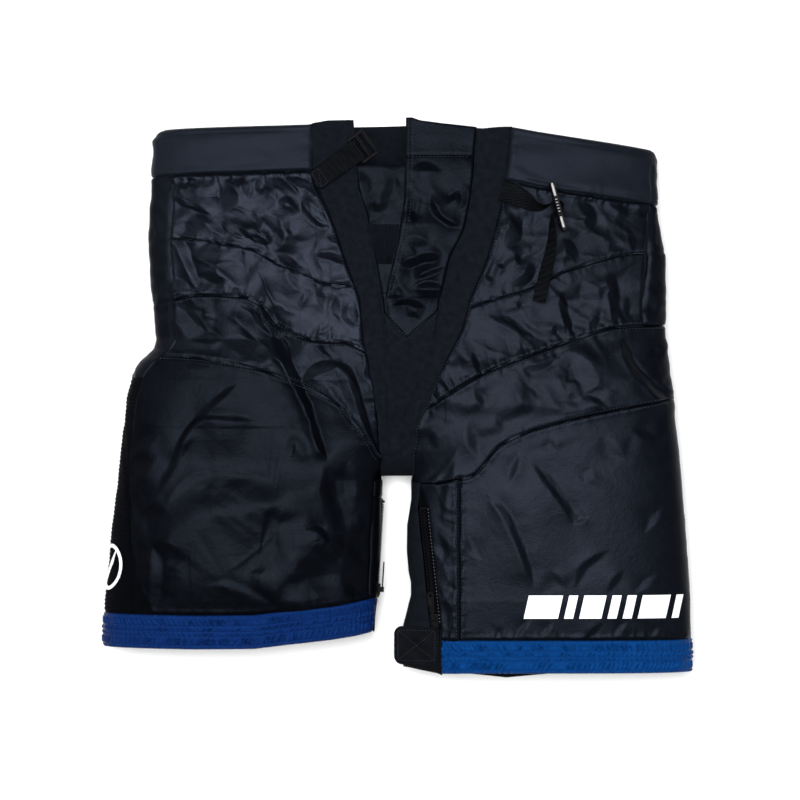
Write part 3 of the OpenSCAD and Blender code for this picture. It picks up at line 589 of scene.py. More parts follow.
def gather(height_map):
    """Adds the grooves of the seams and the puckers that their stitching draws up."""
    for number, (points, gathered, height, reach, depth) in enumerate(SEAMS):
        line = curve(points)
        part, distance, side, arc, _ = near_line(line, reach * 2.2 + 4)
        wave = noise(40 + number, arc, distance * 0.2 + 30 * side, 4.6)
        wave += 0.6 * noise(80 + number, arc, distance * 0.3 + 30 * side, 2.4)
        lengths = 0.75 + 0.5 * noise(120 + number, arc, 50 * side, 8)
        fade = np.exp(-(distance / (reach * lengths)) ** 1.5) * smooth(distance / 1.6)
        chosen = 1.0 if gathered == 0 else (side == gathered)
        height_map[part] += height * wave * fade * chosen
        if depth:
            height_map[part] -= depth * np.exp(-(distance / GROOVE_W) ** 2)
            height_map[part] += ROLL_SHARE * depth * np.exp(-((distance - ROLL_AT) / ROLL_W) ** 2)


def held_lines():
    """Where the cloth is stitched down, so it can't lift."""
    held = np.zeros(GRID_X.shape, bool)
    for points, _, _, _, depth in SEAMS:
        if depth:
            part, distance, _, _, _ = near_line(curve(points), 3)
            held[part] |= distance < 1.8
    outside = (GRID_X < look(RIGHT_SIDE + WAIST_RIGHT[2:], GRID_Y) + 4)
    outside |= (GRID_X > look(LEFT_SIDE + WAIST_LEFT[1:], GRID_Y) - 4)
    return held | outside


# Where the cloth stands off the skin as a whole: its X range, its Y range, the slope's length, the height.
SWELLS = [(-268, -66, -222, -60, 50, 6.5), (-205, -140, -60, 20, 30, 2.5), (70, 180, -200, -60, 50, 2.5)]
# The cells of the sheet that is let go, as (size, rounds, droop, stiffness, share of the looseness).
STAGES = [(10, 160, 0.003, 0.03, 0.8), (5, 160, 0.002, 0.05, 0.5)]
# How far loose cloth lifts off the skin, and how much of the buckled sheet's and the crests' height stays.
LOFT = 2.2
BUCKLE_SHARE = 0.36
RIDGE_SHARE = 0.6
# The lowest and the highest that the folds may reach.
LOWEST, HIGHEST = -3.2, 9
# Where the left strap comes out and the cloth is pressed flat: X, Y and half the size in each.
STRAP_ROOT = (108, 205, 16, 14)


def make_folds():
    """The height of the front's cloth over its plain skin, in millimetres, with its sideways drift."""
    share, held = looseness(), held_lines()
    height = np.zeros(GRID_X.shape)
    drift_x, drift_y = np.zeros(GRID_X.shape), np.zeros(GRID_X.shape)
    for cell, rounds, droop, stiff, part in STAGES:
        i, j = np.arange(0, COLUMNS, cell), np.arange(0, ROWS, cell)
        whole_i, whole_j = np.meshgrid(i, j, indexing="ij")
        is_held = held[whole_i, whole_j] & (cell < 10)
        drift, z = relax(height[whole_i, whole_j], share[whole_i, whole_j] * part, is_held, cell, rounds,
                         droop, stiff, cell)
        full_i, full_j = np.meshgrid(np.arange(COLUMNS) / cell, np.arange(ROWS) / cell, indexing="ij")
        height = cubic(z, full_i, full_j)
        drift_x += cubic(drift[..., 0], full_i, full_j)
        drift_y += cubic(drift[..., 1], full_i, full_j)
    loose = np.clip(share / HIP_LOOSENESS, 0.1, 1)
    height = BUCKLE_SHARE * height + LOFT * smooth(loose)
    for x_from, x_to, y_from, y_to, edge, swell in SWELLS:
        across = smooth((GRID_X - x_from) / edge) * smooth((x_to - GRID_X) / edge)
        height += swell * across * smooth((GRID_Y - y_from) / edge) * smooth((y_to - GRID_Y) / edge)
    for points, width, depth in CREASES:
        crease(height, points, width, depth)
    for points, width, crest in RIDGES:
        ridge(height, points, width, RIDGE_SHARE * crest)
    gather(height)
    warp_x = GRID_X + 7 * noise(5, GRID_X, GRID_Y, 26)
    warp_y = GRID_Y + 7 * noise(6, GRID_X, GRID_Y, 26)
    along_fold, across_fold = (warp_x - warp_y) * 0.7, (warp_x + warp_y) * 0.7
    crumple = 1 - np.abs(noise(7, along_fold, across_fold * 1.9, 24)) * 2
    small = 1 - np.abs(noise(8, along_fold, across_fold * 1.6, 11)) * 2
    height += (0.5 * crumple + 0.1 * small) * loose ** 1.5
    x, y, wide, tall = STRAP_ROOT
    root = np.exp(-((GRID_X - x) / wide) ** 4 - ((GRID_Y - y) / tall) ** 4)
    height -= root * np.maximum(0, height + 0.6)
    return np.clip(height, LOWEST, HIGHEST), drift_x, drift_y


FOLD_MAP, DRIFT_X, DRIFT_Y = make_folds()


def fold_at(x, y):
    i, j = x - LOW_X, y - LOW_Y
    return cubic(FOLD_MAP, i, j), cubic(DRIFT_X, i, j), cubic(DRIFT_Y, i, j)


def cloth(side, q, y, depth=0.0, share=1.0, lift=0.0):
    """Points of the shell's outer face, folds and all. lift raises them along the skin."""
    flat = skin(side, q, y, depth)
    front = smooth((1.04 - np.abs((q + 2) % 4 - 2)) / 0.16)
    height, dx, dy = fold_at(flat[..., 0], y)
    side_wave = noise(21, q * 60, y, 17) * 2.0 + noise(22, q * 60, y, 8) * 0.9
    under = (q < -1) | (q > 1)
    calm = np.where(under, -0.8 - 0.6 * noise(23, flat[..., 0], y, 21), side_wave)
    raised = share * (front * height + (1 - front) * calm) + lift
    point = skin(side, q, y, depth - raised)
    point[..., 0] += share * front * dx
    point[..., 1] += share * front * dy
    point[..., 2] = np.maximum(point[..., 2], 0.25)
    return point


# ---------------------------------------------------------------- meshes
def new_object(name, points, faces, materials, face_material=None, uv=None, smooth_angle=60):
    """A mesh object from points in millimetres."""
    mesh = bpy.data.meshes.new(name)
    mesh.from_pydata((np.asarray(points) * MM).tolist(), [], np.asarray(faces).tolist()
                     if not isinstance(faces, list) else faces)
    for material in materials:
        mesh.materials.append(material)
    if face_material is not None:
        mesh.polygons.foreach_set("material_index", np.asarray(face_material, np.int32))
    mesh.shade_smooth()
    mesh.set_sharp_from_angle(angle=math.radians(smooth_angle))
    if uv is not None:
        layer = mesh.uv_layers.new(name="cloth")
        loops = np.zeros(len(mesh.loops), np.int32)
        mesh.loops.foreach_get("vertex_index", loops)
        layer.data.foreach_set("uv", (np.asarray(uv)[loops] * MM).astype(np.float32).ravel())
    mesh.validate()
    obj = bpy.data.objects.new(name, mesh)
    bpy.context.scene.collection.objects.link(obj)
    return obj


def grid_faces(n, m, base=0, flip=False):
    """Quads of an (n+1) by (m+1) grid of points that starts at base."""
    i, j = np.meshgrid(np.arange(n), np.arange(m), indexing="ij")
    a = base + i * (m + 1) + j
    quad = np.stack([a, a + m + 1, a + m + 2, a + 1], -1).reshape(-1, 4)
    return quad[:, ::-1] if flip else quad


def slab_data(outer, inner):
    """Points and faces of a closed sheet between two equal grids, and which faces are inside."""
    n, m = outer.shape[0] - 1, outer.shape[1] - 1
    count = (n + 1) * (m + 1)
    mid_i, mid_j = n // 2, m // 2
    normal = np.cross(outer[min(n, mid_i + 1), mid_j] - outer[mid_i, mid_j],
                      outer[mid_i, min(m, mid_j + 1)] - outer[mid_i, mid_j])
    flip = bool(np.dot(normal, outer[mid_i, mid_j] - inner[mid_i, mid_j]) < 0)
    index = np.arange(count).reshape(n + 1, m + 1)
    ring = np.concatenate([index[:-1, 0], index[-1, :-1], index[:0:-1, -1], index[0, :0:-1]])
    after = np.roll(ring, -1)
    rim = np.stack([ring, ring + count, after + count, after], -1)
    if flip:
        rim = rim[:, ::-1]
    faces = np.vstack([grid_faces(n, m, 0, flip), grid_faces(n, m, count, not flip), rim])
    inside = np.concatenate([np.zeros(n * m, int), np.ones(n * m, int), np.zeros(len(rim), int)])
    return np.vstack([outer.reshape(-1, 3), inner.reshape(-1, 3)]), faces, inside


def slab_uv(outer):
    """Lengths along the sheet, in millimetres, as its texture coordinates."""
    u = np.zeros(outer.shape[:2])
    u[1:] = np.cumsum(np.linalg.norm(np.diff(outer[..., ::2], axis=0), axis=-1), axis=0)
    u -= u[u.shape[0] // 2] - outer[u.shape[0] // 2, :, 0]
    uv = np.stack([u, outer[..., 1]], -1).reshape(-1, 2)
    return np.vstack([uv, uv])


def slab(name, sheets, materials):
    """One object of one or more closed sheets, each given by its outer and inner grids."""
    points, faces, inside, uvs, base = [], [], [], [], 0
    for outer, inner in sheets:
        p, f, i = slab_data(outer, inner)
        points.append(p)
        faces.append(f + base)
        inside.append(i)
        uvs.append(slab_uv(outer))
        base += len(p)
    face_material = np.concatenate(inside) if len(materials) > 1 else None
    return new_object(name, np.vstack(points), np.vstack(faces), materials, face_material, np.vstack(uvs))


def layout(side, q_from, q_to, y_from, y_to, pitch, rounds=6):
    """q and Y over a panel whose sides are q_from(y), q_to(y) and whose ends are y_from(x), y_to(x)."""
    def solve(f, g):
        y = (np.asarray(y_from(0.0)) + np.asarray(y_to(0.0))) / 2 + 0 * f
        for _ in range(rounds):
            q = q_from(y) + (q_to(y) - q_from(y)) * f
            x = skin(side, q, y, 0.0)[..., 0]
            y = y_from(x) + (y_to(x) - y_from(x)) * g
        return q_from(y) + (q_to(y) - q_from(y)) * f, y

    f, g = np.meshgrid(np.linspace(0, 1, 9), np.linspace(0, 1, 9), indexing="ij")
    rough = skin(side, *solve(f, g), 0.0)
    wide = np.linalg.norm(np.diff(rough, axis=0), axis=-1).sum(0).max()
    tall = np.linalg.norm(np.diff(rough, axis=1), axis=-1).sum(1).max()
    n, m = max(3, int(wide / pitch)), max(3, int(tall / pitch))
    f, g = np.meshgrid(np.linspace(0, 1, n + 1), np.linspace(0, 1, m + 1), indexing="ij")
    q, y = solve(f, g)
    return q, y, f, g


def rim(outer, width):
    """How close each point of a grid is to the grid's edge: 1 at the edge, 0 beyond width."""
    n, m = outer.shape[0] - 1, outer.shape[1] - 1
    step_i = np.linalg.norm(np.diff(outer, axis=0), axis=-1).mean()
    step_j = np.linalg.norm(np.diff(outer, axis=1), axis=-1).mean()
    i, j = np.meshgrid(np.arange(n + 1), np.arange(m + 1), indexing="ij")
    near = np.minimum(np.minimum(i, n - i) * step_i, np.minimum(j, m - j) * step_j)
    return np.clip(1 - near / width, 0, 1)


def spread(line, count):
    """count + 1 points spread evenly along a line."""
    lengths = np.concatenate([[0], np.cumsum(np.linalg.norm(np.diff(line[:, :3], axis=0), axis=1))])
    at = np.linspace(0, lengths[-1], count + 1)
    return np.stack([np.interp(at, lengths, line[:, k]) for k in range(line.shape[1])], -1)


def front_layout(side, q_from, q_to, y_from, y_to, pitch):
    """As layout(), for a panel on the front: a patch drawn evenly between its four edges."""
    def x_at(q_edge, y):
        y = np.asarray(y, float)
        return skin(side, q_edge(y), y, 0.0)[..., 0]

    def corner(q_edge, y_edge):
        y = float(y_from(0.0) + y_to(0.0)) / 2
        for _ in range(80):
            y += 0.4 * (float(y_edge(x_at(q_edge, y))) - y)
        return y

    low_left, high_left = corner(q_from, y_from), corner(q_from, y_to)
    low_right, high_right = corner(q_to, y_from), corner(q_to, y_to)

    def up(q_edge, low, high):
        y = np.linspace(low, high, 240)
        return np.stack([x_at(q_edge, y), y], -1)

    def over(y_edge, start, end):
        x = np.linspace(start[0], end[0], 240)
        line = np.stack([x, y_edge(x)], -1)
        line[0], line[-1] = start, end
        return line

    left, right = up(q_from, low_left, high_left), up(q_to, low_right, high_right)
    bottom, top = over(y_from, left[0], right[0]), over(y_to, left[-1], right[-1])
    lengths = [np.linalg.norm(np.diff(line, axis=0), axis=1).sum() for line in (left, right, bottom, top)]
    n, m = max(3, int(max(lengths[2:]) / pitch)), max(3, int(max(lengths[:2]) / pitch))
    left, right, bottom, top = spread(left, m), spread(right, m), spread(bottom, n), spread(top, n)
    f, g = np.meshgrid(np.linspace(0, 1, n + 1), np.linspace(0, 1, m + 1), indexing="ij")
    at_f, at_g = f[..., None], g[..., None]
    place = (1 - at_f) * left[None] + at_f * right[None] + (1 - at_g) * bottom[:, None] + at_g * top[:, None]
    place -= (1 - at_f) * ((1 - at_g) * left[0] + at_g * left[-1])
    place -= at_f * ((1 - at_g) * right[0] + at_g * right[-1])
    return q_front(side, place[..., 0], place[..., 1]), place[..., 1], f, g


def panel(side, q_from, q_to, y_from, y_to, pitch=1.5, depth=0.0, share=1.0, thick=FABRIC_T,
          roll=0.5, extra=None, front=False):
    """The outer and inner grids of a sewn panel. extra(q, y, f, g) adds to its height."""
    lay = front_layout if front else layout
    q, y, f, g = lay(side, q_from, q_to, y_from, y_to, pitch)
    lift = extra(q, y, f, g) if extra else 0.0
    edge = rim(skin(side, q, y, depth), 2.4)
    outer = cloth(side, q, y, depth, share, lift - roll * edge ** 2)
    inner = cloth(side, q, y, depth + thick, share, lift * 0.5 + 0.35 * thick * edge ** 2)
    return outer, inner


def level(v):
    return lambda u: v + 0 * np.asarray(u, float)


def along(table, shift=0.0):
    return lambda v: look(table, v) + shift


def by_x(side, table, shift=0.0):
    """A side edge that follows a [Y, X] table on the front."""
    return lambda y: q_front(side, look(table, y) + shift, y)


def by_x_back(side, table, shift=0.0):
    return lambda y: q_back(side, look(table, y) + shift, y)


# ---------------------------------------------------------------- materials
def nodes_of(name):
    material = bpy.data.materials.new(name)
    material.use_nodes = True
    tree = material.node_tree
    shader = tree.nodes["Principled BSDF"]
    return material, tree, shader


def node(tree, kind, settings=None, inputs=None):
    """Adds a node, sets its settings and inputs; an input that is a socket is linked."""
    made = tree.nodes.new(kind)
    for key, value in (settings or {}).items():
        setattr(made, key, value)
    for key, value in (inputs or {}).items():
        if isinstance(value, bpy.types.NodeSocket):
            tree.links.new(value, made.inputs[key])
        else:
            made.inputs[key].default_value = value
    return made


def ramp(tree, factor, stops):
    made = node(tree, "ShaderNodeValToRGB", None, {"Fac": factor})
    elements = made.color_ramp.elements
    while len(elements) < len(stops):
        elements.new(0.5)
    for element, (position, colour) in zip(elements, stops):
        element.position = position
        element.color = (*colour, 1) if len(colour) == 3 else colour
    return made.outputs["Color"]


def threads(tree, coordinate, across, up):
    """The height of a plain weave with threads of the given pitch, in metres."""
    parts = node(tree, "ShaderNodeSeparateXYZ", None, {0: coordinate})
    waves = []
    for axis, pitch in (("X", across), ("Y", up)):
        turned = node(tree, "ShaderNodeMath", {"operation": "MULTIPLY"},
                      {0: parts.outputs[axis], 1: 2 * math.pi / pitch})
        waves.append(node(tree, "ShaderNodeMath", {"operation": "SINE"}, {0: turned.outputs[0]}))
    return node(tree, "ShaderNodeMath", {"operation": "MULTIPLY"},
                {0: waves[0].outputs[0], 1: waves[1].outputs[0]}).outputs[0]


def fabric(name, dark, light, roughness, pitch, weave, crinkle, sheen=0.0, spread=60, specular=0.5,
           rough_spread=0.08, tint=(0.60, 0.72, 1.0)):
    """A woven or knitted cloth: mottled colour, uneven gloss, weave and crinkle in the bump."""
    material, tree, shader = nodes_of(name)
    where = node(tree, "ShaderNodeTexCoord")
    uv = where.outputs["UV"]
    cloud = node(tree, "ShaderNodeTexNoise", None, {"Vector": uv, "Scale": spread, "Detail": 6.0,
                                                   "Roughness": 0.6})
    fine = node(tree, "ShaderNodeTexNoise", None, {"Vector": uv, "Scale": 900.0, "Detail": 2.0})
    mixed = node(tree, "ShaderNodeMath", {"operation": "MULTIPLY_ADD"},
                 {0: fine.outputs["Fac"], 1: 0.35, 2: cloud.outputs["Fac"]})
    colour = ramp(tree, mixed.outputs[0], [(0.35, dark), (1.0, light)])
    tree.links.new(colour, shader.inputs["Base Color"])
    gloss = node(tree, "ShaderNodeMapRange", None,
                 {"Value": cloud.outputs["Fac"], "To Min": roughness - rough_spread,
                  "To Max": roughness + rough_spread})
    tree.links.new(gloss.outputs[0], shader.inputs["Roughness"])
    ripple = node(tree, "ShaderNodeTexNoise", None, {"Vector": uv, "Scale": 170.0, "Detail": 3.0,
                                                    "Distortion": 0.6})
    bump = node(tree, "ShaderNodeBump", None, {"Height": ripple.outputs["Fac"], "Strength": crinkle,
                                              "Distance": 0.002})
    grain = node(tree, "ShaderNodeBump", None, {"Height": fine.outputs["Fac"], "Strength": 0.4,
                                               "Distance": 0.0005, "Normal": bump.outputs["Normal"]})
    woven = node(tree, "ShaderNodeBump", None,
                 {"Height": threads(tree, uv, pitch, pitch * 1.3), "Strength": weave,
                  "Distance": pitch * 0.35, "Normal": grain.outputs["Normal"]})
    tree.links.new(woven.outputs["Normal"], shader.inputs["Normal"])
    shader.inputs["Specular IOR Level"].default_value = specular
    shader.inputs["Specular Tint"].default_value = (*tint, 1)
    shader.inputs["Sheen Weight"].default_value = sheen
    shader.inputs["Sheen Roughness"].default_value = 0.45
    shader.inputs["Sheen Tint"].default_value = (0.75, 0.82, 1.0, 1)
    return material


def moulded(name, dark, light, roughness, specular=0.5, grain=1200.0, bump_strength=0.06, metallic=0.0):
    """Moulded plastic or cast metal: fine grain, handling wear and uneven gloss."""
    material, tree, shader = nodes_of(name)
    where = node(tree, "ShaderNodeTexCoord")
    place = where.outputs["Object"]
    cloud = node(tree, "ShaderNodeTexNoise", None, {"Vector": place, "Scale": 90.0, "Detail": 5.0})
    colour = ramp(tree, cloud.outputs["Fac"], [(0.3, dark), (0.75, light)])
    tree.links.new(colour, shader.inputs["Base Color"])
    gloss = node(tree, "ShaderNodeMapRange", None,
                 {"Value": cloud.outputs["Fac"], "To Min": roughness * 0.75, "To Max": roughness * 1.3})
    tree.links.new(gloss.outputs[0], shader.inputs["Roughness"])
    pits = node(tree, "ShaderNodeTexNoise", None, {"Vector": place, "Scale": grain, "Detail": 2.0})
    bump = node(tree, "ShaderNodeBump", None, {"Height": pits.outputs["Fac"], "Strength": bump_strength,
                                              "Distance": 0.0004})
    tree.links.new(bump.outputs["Normal"], shader.inputs["Normal"])
    shader.inputs["Specular IOR Level"].default_value = specular
    shader.inputs["Metallic"].default_value = metallic
    return material


# The shell nylon in three copies, set brighter or darker as painted light and shade: the first, brighter and
# glossier, goes where the right hip catches the light; the second is painted shade on the other front and
# side panels; the third, darker still and almost without gloss, is painted shade on the right thigh, the fly
# and the right leg's inner side.
NYLON = fabric("nylon", (0.0008, 0.0010, 0.0020), (0.0025, 0.0031, 0.0053), 0.38, 0.0006, 0.08, 0.14,
               specular=0.115)
DIM_NYLON = fabric("dim_nylon", (0.0008, 0.0010, 0.0019), (0.0023, 0.0029, 0.0047), 0.39, 0.0006, 0.08,
                    0.14, specular=0.078)
SHADED_NYLON = fabric("shaded_nylon", (0.0006, 0.0008, 0.0013), (0.0017, 0.0021, 0.0033), 0.38, 0.0006, 0.08, 0.14,
               specular=0.042)
BAND = fabric("waistband_nylon", (0.0022, 0.0028, 0.0046), (0.0046, 0.0058, 0.0090), 0.5, 0.0007, 0.2,
              0.08, specular=0.12)
KNIT = fabric("knit", (0.0020, 0.0026, 0.0038), (0.0072, 0.0090, 0.0120), 0.9, 0.0011, 0.6, 0.08,
              specular=0.05, spread=140)
NET = fabric("side_mesh", (0.0006, 0.0006, 0.0010), (0.0022, 0.0022, 0.0032), 0.8, 0.0016, 0.9, 0.10,
             specular=0.04)
BLUE = fabric("hem_blue", (0.0012, 0.0050, 0.030), (0.0030, 0.0190, 0.095), 0.36, 0.0007, 0.3, 0.2,
              specular=0.22, spread=220, tint=(0.05, 0.22, 1.0))
# The left hem band's blue: a brighter, glossier copy of the right band's, as painted light.
LIT_BLUE = fabric("hem_blue_lit", (0.0008, 0.0095, 0.044), (0.0018, 0.0380, 0.160), 0.36, 0.0007, 0.3, 0.2,
               specular=0.34, spread=220, tint=(0.03, 0.27, 1.0))
LINING = fabric("lining", (0.0018, 0.0024, 0.0036), (0.0052, 0.0062, 0.0085), 0.85, 0.0014, 0.6, 0.2,
                specular=0.05)
WEBBING = fabric("webbing", (0.0020, 0.0022, 0.0028), (0.0085, 0.0090, 0.0108), 0.62, 0.0022, 1.0, 0.1,
                 specular=0.045)
FOAM = fabric("pad_cloth", (0.030, 0.032, 0.038), (0.065, 0.068, 0.078), 0.9, 0.0012, 0.5, 0.3,
              sheen=0.15, specular=0.2)
THREAD = fabric("thread", (0.008, 0.010, 0.015), (0.022, 0.026, 0.036), 0.55, 0.0005, 0.4, 0.1,
                specular=0.2)
LIGHT_THREAD = fabric("light_thread", (0.10, 0.11, 0.12), (0.22, 0.23, 0.25), 0.6, 0.0005, 0.4, 0.1)
BLUE_THREAD = fabric("blue_thread", (0.002, 0.020, 0.10), (0.006, 0.045, 0.20), 0.5, 0.0005, 0.4, 0.1,
                     specular=0.15)
PRINT = fabric("white_print", (0.72, 0.74, 0.76), (0.86, 0.87, 0.88), 0.45, 0.0006, 0.08, 0.12,
               specular=0.4)
GUARD = moulded("guard_plastic", (0.42, 0.43, 0.45), (0.55, 0.56, 0.57), 0.42, grain=700.0)
BUCKLE = moulded("buckle_plastic", (0.0015, 0.0015, 0.0020), (0.0045, 0.0045, 0.0056), 0.34, specular=0.018)
GLOSS = moulded("buckle_gloss", (0.0020, 0.0020, 0.0026), (0.0060, 0.0060, 0.0072), 0.2, specular=0.45)
ZIP_PART = moulded("zip_plastic", (0.0030, 0.0030, 0.0036), (0.0090, 0.0090, 0.0105), 0.55, specular=0.02)


def belong(obj, body, replaced=(), bend=None):
    """Rides the piece on a body, or, when bend is given, bakes its place into its points and leaves it on no
    body.
    """
    if bend:
        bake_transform(obj)
    else:
        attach(obj, body)
    if replaced:
        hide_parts(*replaced)
    return obj


def piece(name, sheets, materials, body, bend=None):
    """Closed sheets as one object that stands for the CAD node of its own name."""
    return belong(slab(name, sheets, materials), body, [name], bend)


# ---------------------------------------------------------------- the shell
def waistband():
    """Three stiff bands round the top, rounded at their edges and rolled over the hips."""
    def crown(q, y, f, g):
        stitched = np.exp(-((g - 0.88) / 0.02) ** 2) + np.exp(-((g - 0.10) / 0.02) ** 2)
        slack = 1.1 * noise(33, q * 125, y * 1.5, 26) + 0.45 * noise(34, q * 125, y, 11)
        return 1.2 * (1 - (2 * g - 1) ** 6) - 0.5 * stitched + slack * smooth(g * (1 - g) * 6)

    for side, edges in (("right", (level(-1), by_x("right", STRIP_RIGHT_OUT, -SEAM))),
                        ("left", (by_x("left", STRIP_LEFT_OUT, SEAM), level(1)))):
        front = panel(side, *edges, along(WAIST_LOW, -0.5), along(WAIST_TOP), depth=-0.5, share=0.8,
                      thick=3.4, roll=1.8, extra=crown)
        piece("waistband_" + side, [front], [BAND, LINING], "waist")
    back = panel("right", level(1), level(3), along(WAIST_LOW, -0.5), along(WAIST_TOP),
                 pitch=2.5, depth=0, share=0.6, thick=3.2, roll=1.2, extra=crown)
    piece("waistband_back", [back], [BAND, KNIT], "waist")


def hip(side, parts, legs_name):
    """The front hip panels of one side, sewn one below the other and bent over the hip."""
    for name, y_from, y_to, replaced in parts:
        if side == "right":
            edges = (lambda y: -1 + side_q(y), by_x(side, EDGE_RIGHT, -SEAM))
        else:
            edges = (by_x(side, EDGE_LEFT, SEAM), level(LEFT_LEG_Q) if "yoke" in name else along(LEFT_HIP_Q))
        sheet = panel(side, *edges, y_from, y_to, front=True)
        # The right hip panels take the brighter, glossier nylon as painted light; the other panels take the
        # dimmer copy as painted shade.
        in_light = side == "right" and "hip" in name
        obj = slab(name, [sheet], [NYLON if in_light else DIM_NYLON, LINING])
        belong(obj, None, replaced, legs_name)


def shell_front():
    hip("right", [
        ("hip_panel_right", along(SEAM_1, SEAM), along(WAIST_LOW, 1.5), ["hip_panel_right"]),
        ("hip_lower_right", along(SEAM_2, SEAM), along(SEAM_1, -SEAM), []),
        ("thigh_yoke_right", along(GUARD_RIGHT, SEAM), along(SEAM_2, -SEAM), ["thigh_yoke_right"]),
    ], "right_leg")
    hip("left", [
        ("hip_panel_left", along(SEAM_R1, SEAM), along(WAIST_LOW, 1.5), ["hip_panel_left"]),
        ("hip_lower_left", along(SEAM_R2, SEAM), along(SEAM_R1, -SEAM), []),
        ("thigh_yoke_left", along(GUARD_LEFT, SEAM), along(SEAM_R2, -SEAM), ["thigh_yoke_left"]),
    ], "left_leg")
    right = panel("right", mesh_q, level(1 - INNER_Q), along(HEM_RIGHT, BAND_RIGHT - 1),
                  along(GUARD_RIGHT, -SEAM), front=True)
    # The right thigh panel takes the darkest, least glossy nylon: painted shade.
    piece("thigh_panel_right", [right], [SHADED_NYLON, LINING], None, "right_leg")
    left = panel("left", by_x("left", upright(TAIL_X), SEAM), level(LEFT_LEG_Q),
                 along(HEM_LEFT, BAND_LEFT - 1), along(GUARD_LEFT, -SEAM), front=True)
    piece("thigh_panel_left", [left], [DIM_NYLON, LINING], "left_leg")
    tail = panel("left", by_x("left", ZIP_OUT), by_x("left", upright(TAIL_X), -SEAM),
                 along(HEM_LEFT, BAND_LEFT - 1), along(GUARD_LEFT, -1), pitch=1.5, front=True)
    belong(slab("yoke_tail_left", [tail], [DIM_NYLON, LINING]), "left_leg")


def strips():
    """The two matte stretch strips beside the fly."""
    def ribs(q, y, f, g):
        return 0.12 * np.sin(2 * np.pi * f * 12)

    for side, left, right, bend in (("right", STRIP_RIGHT_OUT, STRIP_RIGHT_IN, "right_leg"),
                                    ("left", STRIP_LEFT_IN, STRIP_LEFT_OUT, "left_leg")):
        sheet = panel(side, by_x(side, left, -1.2), by_x(side, right, 1.2), level(HIP_LINE),
                      along(WAIST_TOP, 0.6), pitch=1.2, depth=0.5, share=0.8, extra=ribs)
        piece("stretch_strip_" + side, [sheet], [KNIT, KNIT], None, bend)


def fly():
    """The under half of the fly, its ribbed elastic and the over flap."""
    under = panel("right", by_x("right", STRIP_RIGHT_IN, SEAM), by_x("right", FLY_EDGE, 30), level(96),
                  level(232), depth=3.2, share=0.6, pitch=1.8)
    # The fly's under half takes the darkest, least glossy nylon: painted shade.
    piece("fly_underlap", [under], [SHADED_NYLON, LINING], "waist")

    def ribs(q, y, f, g):
        return 1.1 * np.sin(2 * np.pi * f * 8)

    elastic = panel("right", by_x("right", [[134, -20], [173, -31]]), by_x("right", FLY_EDGE, -1.5),
                    level(134), level(173), pitch=0.7, depth=0.4, share=0.3, extra=ribs, thick=1.2)
    piece("fly_elastic", [elastic], [KNIT, NET], "waist")

    def hemmed(q, y, f, g):
        line = np.exp(-((y - 241) / 1.2) ** 2)
        return 0.6 * np.exp(-((f - 0.03) / 0.03) ** 2) - 1.0 * line - 1.7 * smooth((114 - y) / 13)

    flap = panel("left", by_x("left", FLY_EDGE), by_x("left", STRIP_LEFT_IN, -1), level(100),
                 along(WAIST_TOP, 1), pitch=1.5, depth=-1.6, extra=hemmed)
    # The fly's flap takes the darkest, least glossy nylon: painted shade.
    obj = slab("fly_flap", [flap], [SHADED_NYLON, LINING])
    belong(obj, "flap", ["fly_flap"])


def gusset_top(x, y, d):
    """The front of the gusset, drawn between the two legs and dipping to the crotch."""
    x_right, x_left = look(GUSSET_RIGHT, y), look(GUSSET_LEFT, y)
    t = np.clip((x - x_right) / (x_left - x_right), 0, 1)
    z_right = skin("right", q_front("right", x_right, y), y, d)[..., 2]
    z_left = skin("left", q_front("left", x_left, y), y, d)[..., 2]
    return z_right + (z_left - z_right) * t - look(CROTCH_DIP, y)


def gusset():
    """Knitted gusset in two halves, which part along the middle of the crotch."""
    for side, leg, low, high in (("right", "right_leg", 0, 1), ("left", "left_leg", 1, 2)):
        n, m = 26, 92
        f, g = np.meshgrid(np.linspace(0, 1, n + 1), np.linspace(0, 1, m + 1), indexing="ij")
        y = CROTCH_Y + (HIP_LINE + 0.5 - CROTCH_Y) * g
        edges = [look(GUSSET_RIGHT, y) - 2.2, 0 * y, look(GUSSET_LEFT, y) + 2.2]
        x = edges[low] + (edges[high] - edges[low]) * f
        height = fold_at(x, y)[0] * smooth((y - CROTCH_Y) / 30) * 0.8
        rib = 0.12 * np.sin(2 * np.pi * x / 2.4)
        top = gusset_top(x, y, 0.5)
        sheets = [(np.stack([x, y, top + height + rib], -1),
                   np.stack([x, y, top + height - FABRIC_T], -1))]
        rise = look(CROTCH_RISE, y)
        sheets.append((np.stack([x, y, rise + 0.1], -1), np.stack([x, y, rise + FABRIC_T], -1)))
        obj = slab("crotch_gusset_" + side, sheets, [KNIT, LINING])
        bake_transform(obj)
        if side == "right":
            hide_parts("crotch_gusset_front", "crotch_gusset_back")
    foot = panel("right", by_x("right", STRIP_RIGHT_IN, 0.3), by_x("right", STRIP_LEFT_IN, -0.3),
                 level(HIP_LINE - 1), along(FLY_FOOT, -0.3), pitch=1.4, share=0.8)
    belong(slab("gusset_foot", [foot], [KNIT, LINING]), "waist")
    base = panel("right", by_x("right", STRIP_RIGHT_IN, 0.3), by_x("right", STRIP_LEFT_IN, -0.3),
                 along(FLY_FOOT, 0.3), level(106), pitch=1.4, depth=0.6)
    # The fly's base takes the darkest, least glossy nylon: painted shade.
    belong(slab("fly_base", [base], [SHADED_NYLON, LINING]), "waist")


